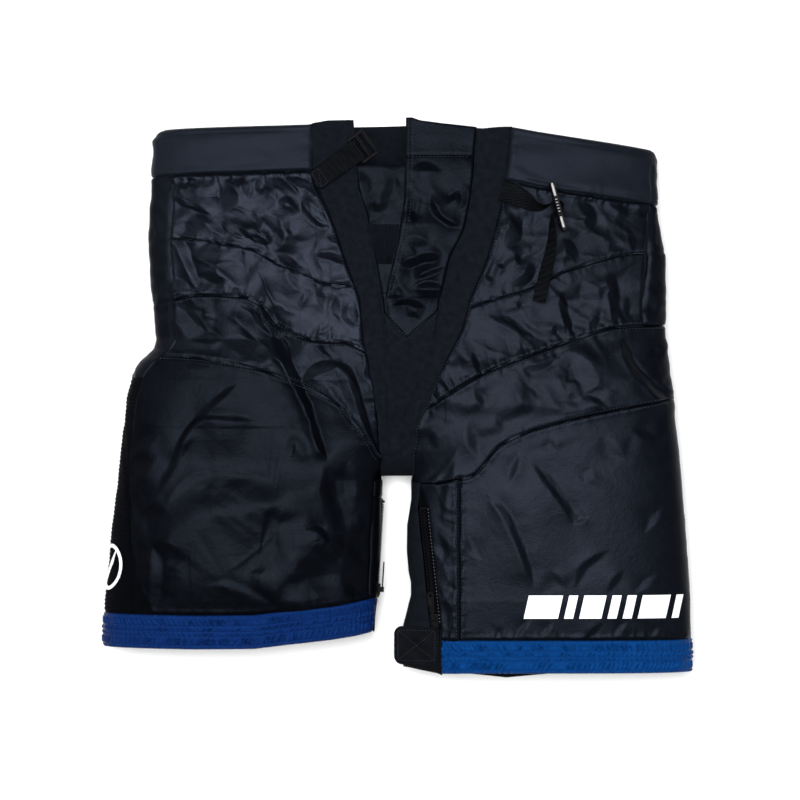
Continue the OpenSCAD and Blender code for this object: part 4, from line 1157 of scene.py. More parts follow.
def shell_sides():
    """Side panels: nylon round the hips, in the dimmer copy that carries painted shade, and ribbed mesh down
    the legs.
    """
    def ribs(q, y, f, g):
        return 0.45 * np.sin(2 * np.pi * y / 4.2)

    mesh_top = 22
    for side, sign, bend, hem, band in (("right", -1, "right_leg", HEM_RIGHT, BAND_RIGHT),
                                        ("left", 1, "left_leg", HEM_LEFT, BAND_LEFT)):
        def q_low(y, sign=sign):
            if sign < 0:
                return sign - side_q(y)
            return left_side_q(y)

        def q_high(y, sign=sign):
            return mesh_q(y) if sign < 0 else sign + side_q(y)

        sheet = panel(side, q_low, q_high, level(mesh_top), along(WAIST_LOW, 1.5), pitch=2.4)
        piece("hip_side_" + side, [sheet], [DIM_NYLON, LINING], None, bend)
        sheet = panel(side, q_low, q_high, along(hem, band - 1), level(mesh_top), pitch=1.2,
                      share=0.6, extra=ribs)
        piece("leg_side_" + side, [sheet], [NET, LINING], bend)


def shell_back():
    """Seat panels and the backs of the legs, which lie on the floor."""
    for side, hem, band, gusset_edge, inner in (
            ("right", HEM_RIGHT, BAND_RIGHT, by_x_back("right", GUSSET_RIGHT, -SEAM), level(1 + INNER_Q)),
            ("left", HEM_LEFT, BAND_LEFT, by_x_back("left", GUSSET_LEFT, SEAM), level(3 - INNER_Q))):
        def edges(middle, side=side):
            """A back panel's two sides in order of q: the given one and the side panel's."""
            if side == "right":
                return middle, lambda y: 3 - side_q(y)
            return lambda y: 1 + side_q(y), middle

        seat = panel(side, *edges(level(2)), level(HIP_LINE - 1), along(WAIST_LOW, 1.5), pitch=3.2)
        piece("seat_panel_" + side, [seat], [NYLON, LINING], None, side + "_leg")
        upper = panel(side, *edges(gusset_edge), level(-82), level(HIP_LINE + 1), pitch=3.2)
        lower = panel(side, *edges(inner), along(hem, band - 1), level(-81), pitch=3.2)
        piece("leg_back_" + side, [upper, lower], [NYLON, LINING], None, side + "_leg")


def wall_q(side, y, z):
    """The q on the +X wall of a leg at a height z."""
    m = tube(side, y)[2] / 2
    v = np.maximum(0, 1 - (np.abs(z - m) / m) ** CORNER_P) ** (1 / CORNER_P)
    turn = np.arcsin(np.where(z < m, BACK_FLAT + (1 - BACK_FLAT) * v, v)) * 2 / np.pi
    return np.where(z < m, 2 - turn, turn)


def inner_legs():
    """The inner side of each leg, split along its zip, and the knit guard behind the left zip."""
    zip_top = -98
    sheets = [
        panel("right", level(1 - INNER_Q), lambda y: wall_q("right", y, 49 + 0 * y),
              along(HEM_RIGHT, BAND_RIGHT - 1), level(zip_top), pitch=2.0, share=0.5),
        panel("right", lambda y: wall_q("right", y, 37 + 0 * y), level(1 + INNER_Q),
              along(HEM_RIGHT, BAND_RIGHT - 1), level(zip_top), pitch=2.0, share=0.5),
        panel("right", level(1 - INNER_Q), level(1 + INNER_Q), level(zip_top), level(-81), pitch=2.0,
              share=0.5)]
    # The right leg's inner side takes the darkest, least glossy nylon: painted shade.
    piece("inner_leg_right", sheets, [SHADED_NYLON, LINING], "right_leg")
    sheet = panel("left", level(3 - INNER_Q), lambda y: 4 + q_front("left", look(ZIP_IN, y), y),
                  along(HEM_LEFT, BAND_LEFT - 1), level(-81), pitch=2.0, share=0.6)
    piece("inner_leg_left", [sheet], [KNIT, LINING], "left_leg")
    behind = panel("left", by_x("left", ZIP_IN, -5), by_x("left", ZIP_OUT, 5), level(-250), level(-88),
                   pitch=3.0, depth=6.0, share=0.0, thick=1.0)
    belong(slab("zip_guard_left", [behind], [KNIT, LINING]), "left_leg")


# How far the left hem's facing hangs below the band, as [X, Y].
FACING_SAG = [[20, 1], [40, 0], [52, -5], [110, -11], [165, -6], [200, -3], [290, -2]]


def hems():
    """Blue bands quilted by rows of stitching, and the black facing behind."""
    for side, body, hem, band, q_from, q_to in (
            ("right", "right_leg", HEM_RIGHT, BAND_RIGHT, level(-1.3), level(0.89)),
            ("left", "left_leg", HEM_LEFT, BAND_LEFT, by_x("left", upright(BAND_LEFT_X)), level(1.3))):
        def quilt(q, y, f, g, side=side):
            arc = skin(side, q, y, 0.0)
            along_hem = np.zeros(q.shape)
            along_hem[1:] = np.cumsum(np.linalg.norm(np.diff(arc, axis=0), axis=-1), axis=0)
            channel = np.searchsorted(HEM_ROWS, g)
            lean = np.where(channel % 2 == 0, 1.0, -1.0) * g * 14
            phase = along_hem + lean + 2.0 * noise(61, along_hem, g * 40, 11)
            puckers = sum(high * np.sin(2 * np.pi * phase / long) for high, long in PUCKERS)
            puckers *= 0.6 + 0.6 * noise(62, along_hem, channel * 9.0, 7)
            near = np.abs(g[..., None] - HEM_ROWS).min(-1) * 36
            puckers *= smooth(np.minimum(g, 1 - g) * 12 + 0.15)
            return puckers * smooth(near / 2.0) - 0.55 * np.exp(-(near / 0.9) ** 2) + 0.5

        sheet = panel(side, q_from, q_to, along(hem), along(hem, band - 0.3), pitch=0.95, depth=-0.8,
                      share=0.35, thick=2.6, roll=1.3, extra=quilt)
        # The left band takes the brighter copy of the blue: painted light.
        piece("hem_band_" + side, [sheet], [BLUE if side == "right" else LIT_BLUE, LINING], body)
    right = panel("right", level(0.892), level(2.698), along(HEM_RIGHT, 1), along(HEM_RIGHT, BAND_RIGHT - 1),
                  pitch=2.6, share=0.4, roll=0.8)
    piece("hem_facing_right", [right], [WEBBING, LINING], "right_leg")

    def sagging(x):
        return look(HEM_LEFT, x) + look(FACING_SAG, x)

    left = panel("left", level(1.302), lambda y: 4 + q_front("left", 43.6 + 0 * y, y), sagging,
                 along(HEM_LEFT, BAND_LEFT - 1), pitch=2.6, share=0.4, roll=0.8)
    piece("hem_facing_left", [left], [WEBBING, LINING], "left_leg")


# ---------------------------------------------------------------- pads inside
def cushion(name, side, q_from, q_to, y_from, y_to, d_out, d_in, body, channels, pitch=3.0):
    """A foam pad in a cloth cover: thick in the middle, thin at its edge, with sewn channels."""
    q, y, f, g = layout(side, q_from, q_to, y_from, y_to, pitch)
    edge = rim(skin(side, q, y, 0.0), 13)
    crown = np.sqrt(np.maximum(0, 1 - edge ** 2.2))
    sewn = np.zeros(q.shape)
    for k in range(1, channels + 1):
        sewn = np.maximum(sewn, np.exp(-((f - k / (channels + 1)) / 0.016) ** 2))
        sewn = np.maximum(sewn, np.exp(-((g - k / (channels + 1)) / 0.020) ** 2))
    middle, half = (d_out + d_in) / 2, (d_in - d_out) / 2
    puff = (0.12 + 0.88 * crown) * (1 - 0.45 * sewn) + 0.04 * noise(33, q * 60, y, 12)
    outer = skin(side, q, y, middle - half * puff)
    inner = skin(side, q, y, middle + half * puff)
    obj = slab(name, [(outer, inner)], [FOAM])
    belong(obj, body, [name])


def cap(name, side, q_from, q_to, y_from, y_to, body, ribs):
    """A moulded plastic cap with raised ribs and a rounded rim."""
    q, y, f, g = layout(side, q_from, q_to, y_from, y_to, 2.6)
    edge = rim(skin(side, q, y, 0.0), 6)
    lines = np.zeros(q.shape)
    for k in range(ribs):
        at = (k + 1) / (ribs + 1)
        lines = np.maximum(lines, np.exp(-((f - at) / 0.02) ** 2) * smooth((0.42 - np.abs(g - 0.5)) * 12))
    outer = skin(side, q, y, 6.9 - 0.7 * lines + 0.6 * edge ** 2)
    inner = skin(side, q, y, 8.4 - 0.3 * edge)
    piece(name, [(outer, inner)], [GUARD], body)


def pads():
    for side, a, b in (("right", -172, -50), ("left", 50, 172)):
        cushion("kidney_pad_" + side, "right", by_x_back("right", [[0, b], [300, b]]),
                by_x_back("right", [[0, a], [300, a]]), level(110), along(WAIST_LOW, 24), 6, 18, "waist", 2)
    wide = [[66, 20], [110, 40], [240, 40]]
    cushion("tailbone_pad", "right", by_x_back("right", wide),
            by_x_back("right", [[66, -38], [240, -38]]), level(66), level(228), 9.2, 17.5, "waist", 1)
    narrow = [[72, 14], [110, 32], [240, 32]]
    cap("tailbone_cap", "right", by_x_back("right", narrow), by_x_back("right", [[72, -30], [240, -30]]),
        level(74), level(218), "waist", 2)
    for side, sign in (("right", -1), ("left", 1)):
        a, b = sorted((0.56 * sign, 1.3 * sign))
        cushion("hip_pad_" + side, "right", level(a), level(b), level(68), along(WAIST_LOW, -12),
                9.2, 17.5, "waist", 2)
        a, b = sorted((0.62 * sign, 1.24 * sign))
        cap("hip_cap_" + side, "right", level(a), level(b), level(76), along(WAIST_LOW, -22), "waist", 3)
    for side, body, top, hem, band in (("right", "right_leg", GUARD_RIGHT, HEM_RIGHT, BAND_RIGHT),
                                       ("left", "left_leg", GUARD_LEFT, HEM_LEFT, BAND_LEFT)):
        cushion("thigh_foam_" + side, side, level(-0.5), level(0.5), along(hem, band - 12),
                along(top, -12), 9.2, 17.5, body, 3)
        cap("thigh_cap_" + side, side, level(-0.44), level(0.44), along(hem, band + 4),
            along(top, -22), body, 4)


# ---------------------------------------------------------------- stitches and prints
def on_cloth(side, x, y, depth, share):
    """Points of the front's cloth at X and Y, and the directions that face out of it there."""
    def at(x, y):
        return cloth(side, q_front(side, x, y), y, depth, share)

    normal = np.cross(at(x + 1, y) - at(x - 1, y), at(x, y + 1) - at(x, y - 1))
    return at(x, y), normal / np.linalg.norm(normal, axis=-1, keepdims=True)


def thread(name, starts, ends, normals, material, radius=0.34):
    """Stitches from starts to ends, each a small bowed spindle whose ends dip into the cloth."""
    rings = [(0, 0.3, -0.3), (0.2, 0.9, 0.1), (0.5, 1.0, 0.22), (0.8, 0.9, 0.1), (1, 0.3, -0.3)]
    run = ends - starts
    across = np.cross(normals, run)
    across /= np.linalg.norm(across, axis=-1, keepdims=True)
    turns = np.arange(6) / 6 * 2 * np.pi
    points = []
    for share, fat, rise in rings:
        middle = starts + share * run + rise * normals
        points.append(middle[:, None] + radius * fat * (across[:, None] * np.cos(turns)[None, :, None]
                                                       + normals[:, None] * np.sin(turns)[None, :, None]))
    points = np.stack(points, 1).reshape(-1, 3)
    k = np.arange(6)
    tube_faces = [np.stack([6 * r + k, 6 * r + (k + 1) % 6, 6 * r + 6 + (k + 1) % 6, 6 * r + 6 + k], -1)
                  for r in range(4)]
    ends_faces = np.array([[3, 2, 1, 0], [5, 4, 3, 0], [24, 25, 26, 27], [24, 27, 28, 29]])
    one = np.vstack(tube_faces + [ends_faces])
    faces = (one[None] + 30 * np.arange(len(starts))[:, None, None]).reshape(-1, 4)
    uv = np.stack([points[:, 0], points[:, 1]], -1)
    return new_object(name, points, faces, [material], None, uv)


def offset(points, distance):
    """A line moved sideways by a distance, to its left."""
    line = curve(points, 1.0)
    run = np.gradient(line, axis=0)
    run /= np.linalg.norm(run, axis=1, keepdims=True)
    return line + distance * np.stack([-run[:, 1], run[:, 0]], -1)


def sew(name, side, lines, body, bend=None, material=None, depth=0.0, share=1.0, length=2.2,
        gap=1.1):
    """Rows of stitches on the front's cloth along lines of X and Y."""
    starts, ends, normals = [], [], []
    for line in lines:
        line = np.asarray(line, float)
        total = np.linalg.norm(np.diff(line, axis=0), axis=1).sum()
        marks = spread(line, 4 * max(2, int(total / (length + gap))))
        first, last = marks[:-4:4], marks[:-4:4] + (marks[4::4] - marks[:-4:4]) * length / (length + gap)
        start, normal = on_cloth(side, first[:, 0], first[:, 1], depth, share)
        end, _ = on_cloth(side, last[:, 0], last[:, 1], depth, share)
        starts.append(start)
        ends.append(end)
        normals.append(normal)
    obj = thread(name, np.vstack(starts), np.vstack(ends), np.vstack(normals), material or THREAD)
    return belong(obj, body, (), bend)


def between(points, low, high):
    """The part of a line whose X lies between low and high."""
    line = curve(points, 1.0)
    return line[(line[:, 0] > low) & (line[:, 0] < high)]


def on_panels(line, side):
    """The part of a line that lies on one side's front panels."""
    x, y = line[:, 0], line[:, 1]
    q = q_front(side, x, y)
    if side == "right":
        inside = (x < look(EDGE_RIGHT, y) - 1.5) & (q > -1 + side_q(y) + 0.008)
    else:
        inside = (x > look(EDGE_LEFT, y) + 1.5) & (q < left_side_q(y))
    return line[inside]


def seams():
    """The visible rows of stitching, grouped by what they ride on."""
    right = [offset(SEAM_1, 2.4), offset(SEAM_2, 2.2), offset(SEAM_2, -2.6), offset(SEAM_2, 6.0),
             offset(swap(EDGE_RIGHT[4:]), 3.0)]
    sew("stitching_right", "right", [on_panels(line[line[:, 1] < 218], "right") for line in right[:4]]
        + [right[4][right[4][:, 1] < 218]], None, "right_leg")
    low_right = [offset(GUARD_RIGHT, -2.4), offset(GUARD_RIGHT, 2.4)]
    sew("stitching_thigh_right", "right", [on_panels(line, "right") for line in low_right], None,
        "right_leg")
    left = [offset(SEAM_R1, 2.4), offset(SEAM_R2, 2.6), offset(SEAM_R2, -2.6), offset(GUARD_LEFT, 2.4),
            offset(GUARD_LEFT, -2.4), offset(swap(EDGE_LEFT), -2.2)]
    sew("stitching_left", "left", [on_panels(line[line[:, 1] < 210], "left") for line in left], None,
        "left_leg")
    tail = [offset([[TAIL_X, -88], [TAIL_X, -238]], 2.2), offset([[TAIL_X, -88], [TAIL_X, -238]], -2.2)]
    sew("stitching_tail_left", "left", tail, "left_leg")
    flap_edge = [offset(swap(FLY_EDGE), -3.0), offset(swap(FLY_EDGE), -6.5)]
    flap = [line[(line[:, 1] > 102) & (line[:, 1] < 272)] for line in flap_edge]
    flap.append(np.array([[14.0, 239.0], [40, 239], [70, 239]]))
    sew("stitching_flap", "left", flap, "flap", depth=-1.6)
    foot = [offset(FLY_FOOT, 2.4), offset(FLY_FOOT, 5.0), offset(FLY_FOOT, -2.2)]
    sew("stitching_fly_foot", "right", [line[(line[:, 1] > 58) & (line[:, 1] < 84)] for line in foot],
        "waist", depth=0.4)
    for side, hem, band, low, high in (("right", HEM_RIGHT, BAND_RIGHT, -284, -38),
                                       ("left", HEM_LEFT, BAND_LEFT, 48, 284)):
        rows = [between([[x, y + band * share] for x, y in hem], low, high)
                for share in HEM_ROWS]
        sew("stitching_hem_" + side, side, rows, side + "_leg", None, BLUE_THREAD, -1.1, 0.35,
            1.7, 0.9)


def patch(side, corners, depth, share=1.0):
    """A thin four-cornered print on the cloth: the grids of its face and its back."""
    a, b, c, d = (np.array(corner, float) for corner in corners)
    n, m = max(2, int(np.hypot(*(b - a)) / 1.2)), max(2, int(np.hypot(*(d - a)) / 1.2))
    f, g = np.meshgrid(np.linspace(0, 1, n + 1), np.linspace(0, 1, m + 1), indexing="ij")
    f, g = f[..., None], g[..., None]
    flat = (a * (1 - f) + b * f) * (1 - g) + (d * (1 - f) + c * f) * g
    face, normal = on_cloth(side, flat[..., 0], flat[..., 1], depth, share)
    return face + 0.3 * normal, face - 0.15 * normal


# The white mark on the left thigh: slanted blocks, as (X of the foot, width).
MARK = [(124, 34), (164, 9), (179, 22), (207, 9), (222, 9), (237, 28), (271, 7)]
MARK_LOW, MARK_HIGH, MARK_SLANT = -217, -194, 0.22


def prints():
    """A generic block mark on the left thigh and a generic ring badge on the right leg's side."""
    lean = MARK_SLANT * (MARK_HIGH - MARK_LOW)
    blocks = [patch("left", [(x, MARK_LOW), (x + width, MARK_LOW), (x + width + lean, MARK_HIGH),
                             (x + lean, MARK_HIGH)], 0.0) for x, width in MARK]
    belong(slab("thigh_mark", blocks, [PRINT]), "left_leg")
    steps = 28
    turn = np.linspace(0, 2 * np.pi, steps + 1)
    radius, angle = np.meshgrid(np.linspace(0.84, 1.0, 3), turn, indexing="ij")
    sheets = [(0.165 * radius * np.cos(angle), 23 * radius * np.sin(angle))]
    wide, tall = np.meshgrid(np.linspace(-0.4, 0.4, 10), np.linspace(-0.28, 0.28, 4), indexing="ij")
    sheets.append((0.165 * (wide + 0.35 * tall), 23 * (1.2 * wide + tall)))
    made = []
    for q_part, y_part in sheets:
        q, y = -0.85 + q_part, -167 + y_part
        made.append((cloth("right", q, y, -0.75, 0.6), cloth("right", q, y, -0.2, 0.6)))
    belong(slab("side_badge", made, [PRINT]), "right_leg")


# ---------------------------------------------------------------- belts
LOOP_AT, LOOP_YAW, LOOP_L = (-81.5, 216.5, 76), 36, 50
WEB_W, WEB_T, BAR_R, TURN_R = 21, 1.6, 1.2, 1.35
BAR_STEP, RAIL_T, RAIL_H = 7.5, 2.8, 3.8
PLATE_AT, PLATE_YAW = (157.5, 190, 88.4), -75
# The left strap's route as X, Y, Z and tilt from flat: out of the waistband and onto its edge,
STRAP_START = [[102, 207, 75.2, 0], [110, 204.5, 76.2, 4], [118, 200.5, 78, 18], [126, 196.5, 80.8, 36],
               [134, 192.5, 84, 56], [141, 190.5, 86.8, 74], [147, 191, 88.2, 86]]
# through the plate and round its middle bar, as places along the plate and out from it,
STRAP_TURN = [[-4.5, -3], [-4.5, 2], [-3.4, 4.6], [0, 5.8], [3.4, 4.6], [4.5, 2], [4.5, -3], [6.5, -7.5]]
# and down as a free tail.
STRAP_TAIL = [[152.5, 172, 88.4, 76], [152, 156, 88.2, 66], [149.5, 140, 87.6, 60], [145.5, 124, 87, 56],
              [141.5, 108, 86.6, 54], [139, 96, 86.4, 52]]


def turn_about_z(points, yaw, at):
    """Points turned by yaw degrees about Z, then moved to at."""
    c, s = math.cos(math.radians(yaw)), math.sin(math.radians(yaw))
    x, y, z = np.moveaxis(np.asarray(points, float), -1, 0)
    return np.stack([at[0] + c * x - s * y, at[1] + s * x + c * y, at[2] + z], -1)


def webbing(line, across, width, rib=0.32, pitch=2.3):
    """The two faces of a strip of ribbed webbing along a line, across being its width's direction."""
    run = np.gradient(line, axis=0)
    face = np.cross(run, across)
    face /= np.linalg.norm(face, axis=-1, keepdims=True)
    arc = np.concatenate([[0], np.cumsum(np.linalg.norm(np.diff(line, axis=0), axis=1))])
    g = np.linspace(-0.5, 0.5, 17)
    edge = smooth((0.5 - np.abs(g)) * width / 1.0)
    half = WEB_T / 2 * (0.45 + 0.55 * edge) - rib + rib * np.sin(2 * np.pi * arc / pitch)[:, None] * edge
    middle = line[:, None] + across[:, None] * (g * width)[None, :, None]
    return middle + face[:, None] * half[..., None], middle - face[:, None] * half[..., None]


def belt_right():
    """The right belt loop, doubled round the buckle's end bar, and the buckle."""
    high = TURN_R + WEB_T / 2
    x = np.linspace(-1, LOOP_L, 60)
    rise = np.interp(x, [-1, 6, 13], [0.8, 0.85, high])
    turn = np.radians(np.linspace(-80, 80, 17))
    line = np.vstack([np.stack([x, 0 * x, -rise], -1),
                      np.stack([LOOP_L + high * np.cos(turn), 0 * turn, high * np.sin(turn)], -1),
                      np.stack([x, 0 * x, rise], -1)[::-1]])
    line = spread(line, 260)
    across = np.zeros(line.shape)
    across[:, 1] = 1
    outer, inner = webbing(line, across, WEB_W - 0.2)
    sheet = tuple(turn_about_z(grid, LOOP_YAW, LOOP_AT) for grid in (outer, inner))
    piece("belt_loop_right", [sheet], [WEBBING], "right_loop")
    box = [[1, -8.5], [9, -8.5], [9, 8.5], [1, 8.5], [1, -8.5], [9, 8.5]]
    marks = spread(np.array(box, float), 26)
    z = np.interp(marks[:, 0], [-1, 6, 13], [0.8, 0.85, high]) + WEB_T / 2
    marks = turn_about_z(np.stack([marks[:, 0], marks[:, 1], z], -1), LOOP_YAW, LOOP_AT)
    up = np.tile([0.0, 0.0, 1.0], (26, 1))
    obj = thread("stitching_belt_right", marks[:-1], marks[:-1] + 0.7 * (marks[1:] - marks[:-1]), up, THREAD)
    belong(obj, "right_loop")
    width = WEB_W + 8
    bars = [((k * BAR_STEP, 0, 0), (r, width / 2 - 0.3, r), 1, 0.12, 1.0)
            for k, r in ((0, BAR_R), (1, RAIL_H / 2), (2, RAIL_H / 2))]
    rails = [((BAR_STEP + 0.1, s * (width - RAIL_T) / 2, 0), (BAR_STEP + 2.5, RAIL_T / 2, RAIL_H / 2),
              0, 0.3, 0.4) for s in (-1, 1)]
    at = turn_about_z([[LOOP_L, 0, 0]], LOOP_YAW, LOOP_AT)[0]
    belong(moulding("buckle_right", bars + rails, LOOP_YAW, at, BUCKLE), "right_buckle",
           ["buckle_right"])


def rounded(centre, half, axis, end_power, round_power):
    """A moulded bar along an axis with rounded ends and a round to boxy section."""
    v = np.linspace(-np.pi / 2 + 0.02, np.pi / 2 - 0.02, 25)
    u = np.arange(20) / 20 * 2 * np.pi

    def power(value, p):
        return np.sign(value) * np.abs(value) ** p

    swell = power(np.cos(v), end_power)[:, None]
    parts = [None, None, None]
    parts[axis] = half[axis] * power(np.sin(v), end_power)[:, None] + 0 * u
    others = [k for k in range(3) if k != axis]
    parts[others[0]] = half[others[0]] * swell * power(np.cos(u), round_power)
    parts[others[1]] = half[others[1]] * swell * power(np.sin(u), round_power)
    points = np.stack(parts, -1) + np.array(centre)
    faces = []
    for r in range(24):
        for k in range(20):
            faces.append([20 * r + k, 20 * r + (k + 1) % 20, 20 * r + 20 + (k + 1) % 20, 20 * r + 20 + k])
    faces += [list(range(19, -1, -1)), list(range(480, 500))]
    if axis == 1:
        faces = [face[::-1] for face in faces]
    return points.reshape(-1, 3), faces


def moulding(name, bars, yaw, at, material):
    """One object of several bars, each given as rounded() takes it."""
    points, faces, base = [], [], 0
    for bar in bars:
        p, f = rounded(*bar)
        points.append(turn_about_z(p, yaw, at))
        faces += [[v + base for v in face] for face in f]
        base += len(p)
    return new_object(name, np.vstack(points), faces, [material])


def belt_left():
    """The left strap: ribbed webbing that turns onto its edge and passes the plate buckle."""
    flat = np.array([[a, b, 0] for a, b in STRAP_TURN])
    turn = [[*point, 90] for point in turn_about_z(flat, PLATE_YAW, PLATE_AT)]
    route = curve(STRAP_START + turn + STRAP_TAIL, 0.6)
    length = np.linalg.norm(np.diff(route[:, :3], axis=0), axis=1).sum()
    route = spread(route, int(length / 0.42))
    line, tilt = route[:, :3], np.radians(route[:, 3:])
    run = np.gradient(line, axis=0)
    run /= np.linalg.norm(run, axis=1, keepdims=True)
    flat_side = np.cross([0, 0, 1], run)
    flat_side /= np.linalg.norm(flat_side, axis=1, keepdims=True)
    across = flat_side * np.cos(tilt) + np.cross(run, flat_side) * np.sin(tilt)
    sheet = webbing(line, across, WEB_W)
    piece("belt_strap_left", [sheet], [WEBBING], "left_strap")


def plate_ends():
    """The polished ends and the small grip bars along the standing plate's upper edge."""
    spots = [(-16.5, 7.5, 2.2), (16.5, 6.5, 2.2)] + [(s, 0.7, 2.1) for s in (-6.5, -3.5, -0.5, 2.5, 5.5)]
    bars = [((at, 0, 13.5), (reach, wide, 0.8), 0, 0.45, 0.7) for at, reach, wide in spots]
    belong(moulding("buckle_left_ends", bars, PLATE_YAW, PLATE_AT, GLOSS), "left_buckle")


# ---------------------------------------------------------------- hem tabs and zips
TAB_L, TAB_W, TAB_T, TAB_R = 40, 38, 2.4, 8
TAB_LEFT_L = 46
TAB_LEFT_AT, TAB_LEFT_SLOPE = (41, -245, 72.2), -15
TAB_RIGHT_AT, TAB_RIGHT_SLOPE = (-23.2, -213, 56), -90


def turn_about_y(points, angle, at):
    c, s = math.cos(math.radians(angle)), math.sin(math.radians(angle))
    x, y, z = np.moveaxis(np.asarray(points, float), -1, 0)
    return np.stack([at[0] + c * x + s * z, at[1] + y, at[2] - s * x + c * z], -1)


def hem_tab(name, at, slope, body, long):
    """A doubled webbing tab with a rounded free end, stitched round its edge and in an X."""
    f = np.linspace(0, 1, 61)[:, None]
    g = np.linspace(-1, 1, 59)[None]
    x = -long * np.sin(f * np.pi / 2) ** 0.9
    half = TAB_W / 2 - TAB_R + np.sqrt(np.maximum(0, TAB_R ** 2 - np.maximum(0, -long + TAB_R - x) ** 2))
    x, y = x + 0 * g, g * half
    inset, far = 4, TAB_W / 2 - 4
    corners = [[-inset, -far], [-long + inset, -far], [-long + inset, far], [-inset, far], [-inset, -far],
               [-long + inset, far], [-long + inset, -far], [-inset, far]]
    near = np.full(x.shape, 99.0)
    for a, b in zip(np.array(corners[:-1], float), np.array(corners[1:], float)):
        step = b - a
        t = np.clip(((x - a[0]) * step[0] + (y - a[1]) * step[1]) / (step @ step), 0, 1)
        near = np.minimum(near, np.hypot(x - a[0] - t * step[0], y - a[1] - t * step[1]))
    edge = np.maximum(np.abs(g) ** 24 + 0 * f, smooth((f - 0.94) / 0.06) + 0 * g)
    rib = 0.12 * np.sin(2 * np.pi * y / 2.0)
    top = TAB_T - 0.5 * np.exp(-(near / 1.0) ** 2) + rib - 0.75 * edge
    outer, inner = np.stack([x, y, top], -1), np.stack([x, y, 0.55 * edge], -1)
    sheet = tuple(turn_about_y(grid, slope, at) for grid in (outer, inner))
    piece(name, [sheet], [WEBBING], body)
    line = np.array(corners, float)
    marks = spread(line, int(np.linalg.norm(np.diff(line, axis=0), axis=1).sum() / 2.8))
    marks = np.column_stack([marks, np.full(len(marks), TAB_T - 0.35)])
    marks = turn_about_y(marks, slope, at)
    up = np.tile(turn_about_y([[0, 0, 1]], slope, (0, 0, 0)), (len(marks) - 1, 1))
    obj = thread("stitching_" + name, marks[:-1], marks[:-1] + 0.68 * (marks[1:] - marks[:-1]), up, THREAD)
    belong(obj, body)


def along_zip(points, low, high, roll):
    """Points of a zip that lies along +Y, face up, moved onto the line from low to high."""
    run = np.array(high, float) - low
    yaw, pitch = math.atan2(-run[0], run[1]), math.atan2(run[2], math.hypot(run[0], run[1]))
    turned = turn_about_y(points, roll, (0, 0, 0))
    x, y, z = np.moveaxis(turned, -1, 0)
    c, s = math.cos(pitch), math.sin(pitch)
    tipped = np.stack([x, y * c - z * s, y * s + z * c], -1)
    return turn_about_z(tipped, math.degrees(yaw), low)


TAPE_W, TAPE_T, TOOTH_STEP = 11, 1.0, 1.6


def zip_fastener(name, low, high, roll, body):
    """Two woven tapes and the chain of moulded teeth between them, with its end stops."""
    length = float(np.linalg.norm(np.array(high) - low))
    y = np.linspace(-4, length + (22 if "left" in name else 4), 150)[:, None]
    sheets = []
    for sign in (-1, 1):
        x = sign * np.linspace(0.35, TAPE_W / 2, 9)[None]
        bead = 0.45 * np.exp(-((np.abs(x) - 1.2) / 0.8) ** 2)
        edge = smooth((np.abs(x) - TAPE_W / 2 + 0.8) / 0.8)
        half = TAPE_T / 2 * (1 - 0.6 * edge) + bead * 0.5
        place = np.stack(np.broadcast_arrays(x, y, half + 0 * y), -1)
        under = np.stack(np.broadcast_arrays(x, y, -TAPE_T / 2 * (1 - 0.6 * edge) + 0 * y), -1)
        sheets.append((along_zip(place, low, high, roll), along_zip(under, low, high, roll)))
    piece(name, sheets, [NET], body)
    marks = np.arange(2, length, 3.4)
    for sign in (-1, 1):
        dots = np.stack([0 * marks + sign * 4.5, marks, 0 * marks + 0.45], -1)
        ends = dots + np.array([0, 1.1, 0])
        face = np.diff(along_zip(np.array([[0.0, 0, 0], [0, 0, 1]]), low, high, roll), axis=0)
        obj = thread(name + ("_stitching_right" if sign > 0 else "_stitching_left"),
                     along_zip(dots, low, high, roll), along_zip(ends, low, high, roll),
                     np.tile(face, (len(marks), 1)), LIGHT_THREAD if sign > 0 else THREAD)
        belong(obj, body)
    count = int(length / TOOTH_STEP)
    blocks = [(-1 if k % 2 else 1, (k + 0.5) * TOOTH_STEP, 0.62) for k in range(count)]
    shape = np.array([[x, s, z] for z, inset in ((0.3, 0), (1.3, 0), (2.0, 0.35))
                      for x, s in ((-0.35 + inset, -1 + inset), (2.0 - inset, -1 + inset),
                                   (2.0 - inset, 1 - inset), (-0.35 + inset, 1 - inset))])
    points = np.array([[sign * px, at + py * half * sign, pz] for sign, at, half in blocks
                       for px, py, pz in shape])
    stops = np.array([[px * 3 / 1.17 - 2.1, at + py * 1.2, pz * 1.35] for at in (-1.25, length + 1.25)
                      for px, py, pz in shape])
    points = np.vstack([points, stops])
    one = np.array([[0, 3, 2, 1], [8, 9, 10, 11]] + [[4 * r + a, 4 * r + (a + 1) % 4, 4 * r + 4 + (a + 1) % 4,
                                                    4 * r + 4 + a] for r in (0, 1) for a in range(4)])
    faces = (one[None] + 12 * np.arange(len(points) // 12)[:, None, None]).reshape(-1, 4)
    obj = new_object(name + "_teeth", along_zip(points, low, high, roll), faces, [ZIP_PART], smooth_angle=30)
    belong(obj, body)


def soften(name, material, width):
    """Keeps a moulded CAD part's shape, with its edges rounded over."""
    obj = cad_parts[name]
    obj.data.materials.clear()
    obj.data.materials.append(material)
    weld = obj.modifiers.new("weld", "WELD")
    weld.merge_threshold = 0.00001
    bevel = obj.modifiers.new("bevel", "BEVEL")
    bevel.width = width * MM
    bevel.segments = 3
    bevel.limit_method = "ANGLE"
    bevel.angle_limit = math.radians(35)


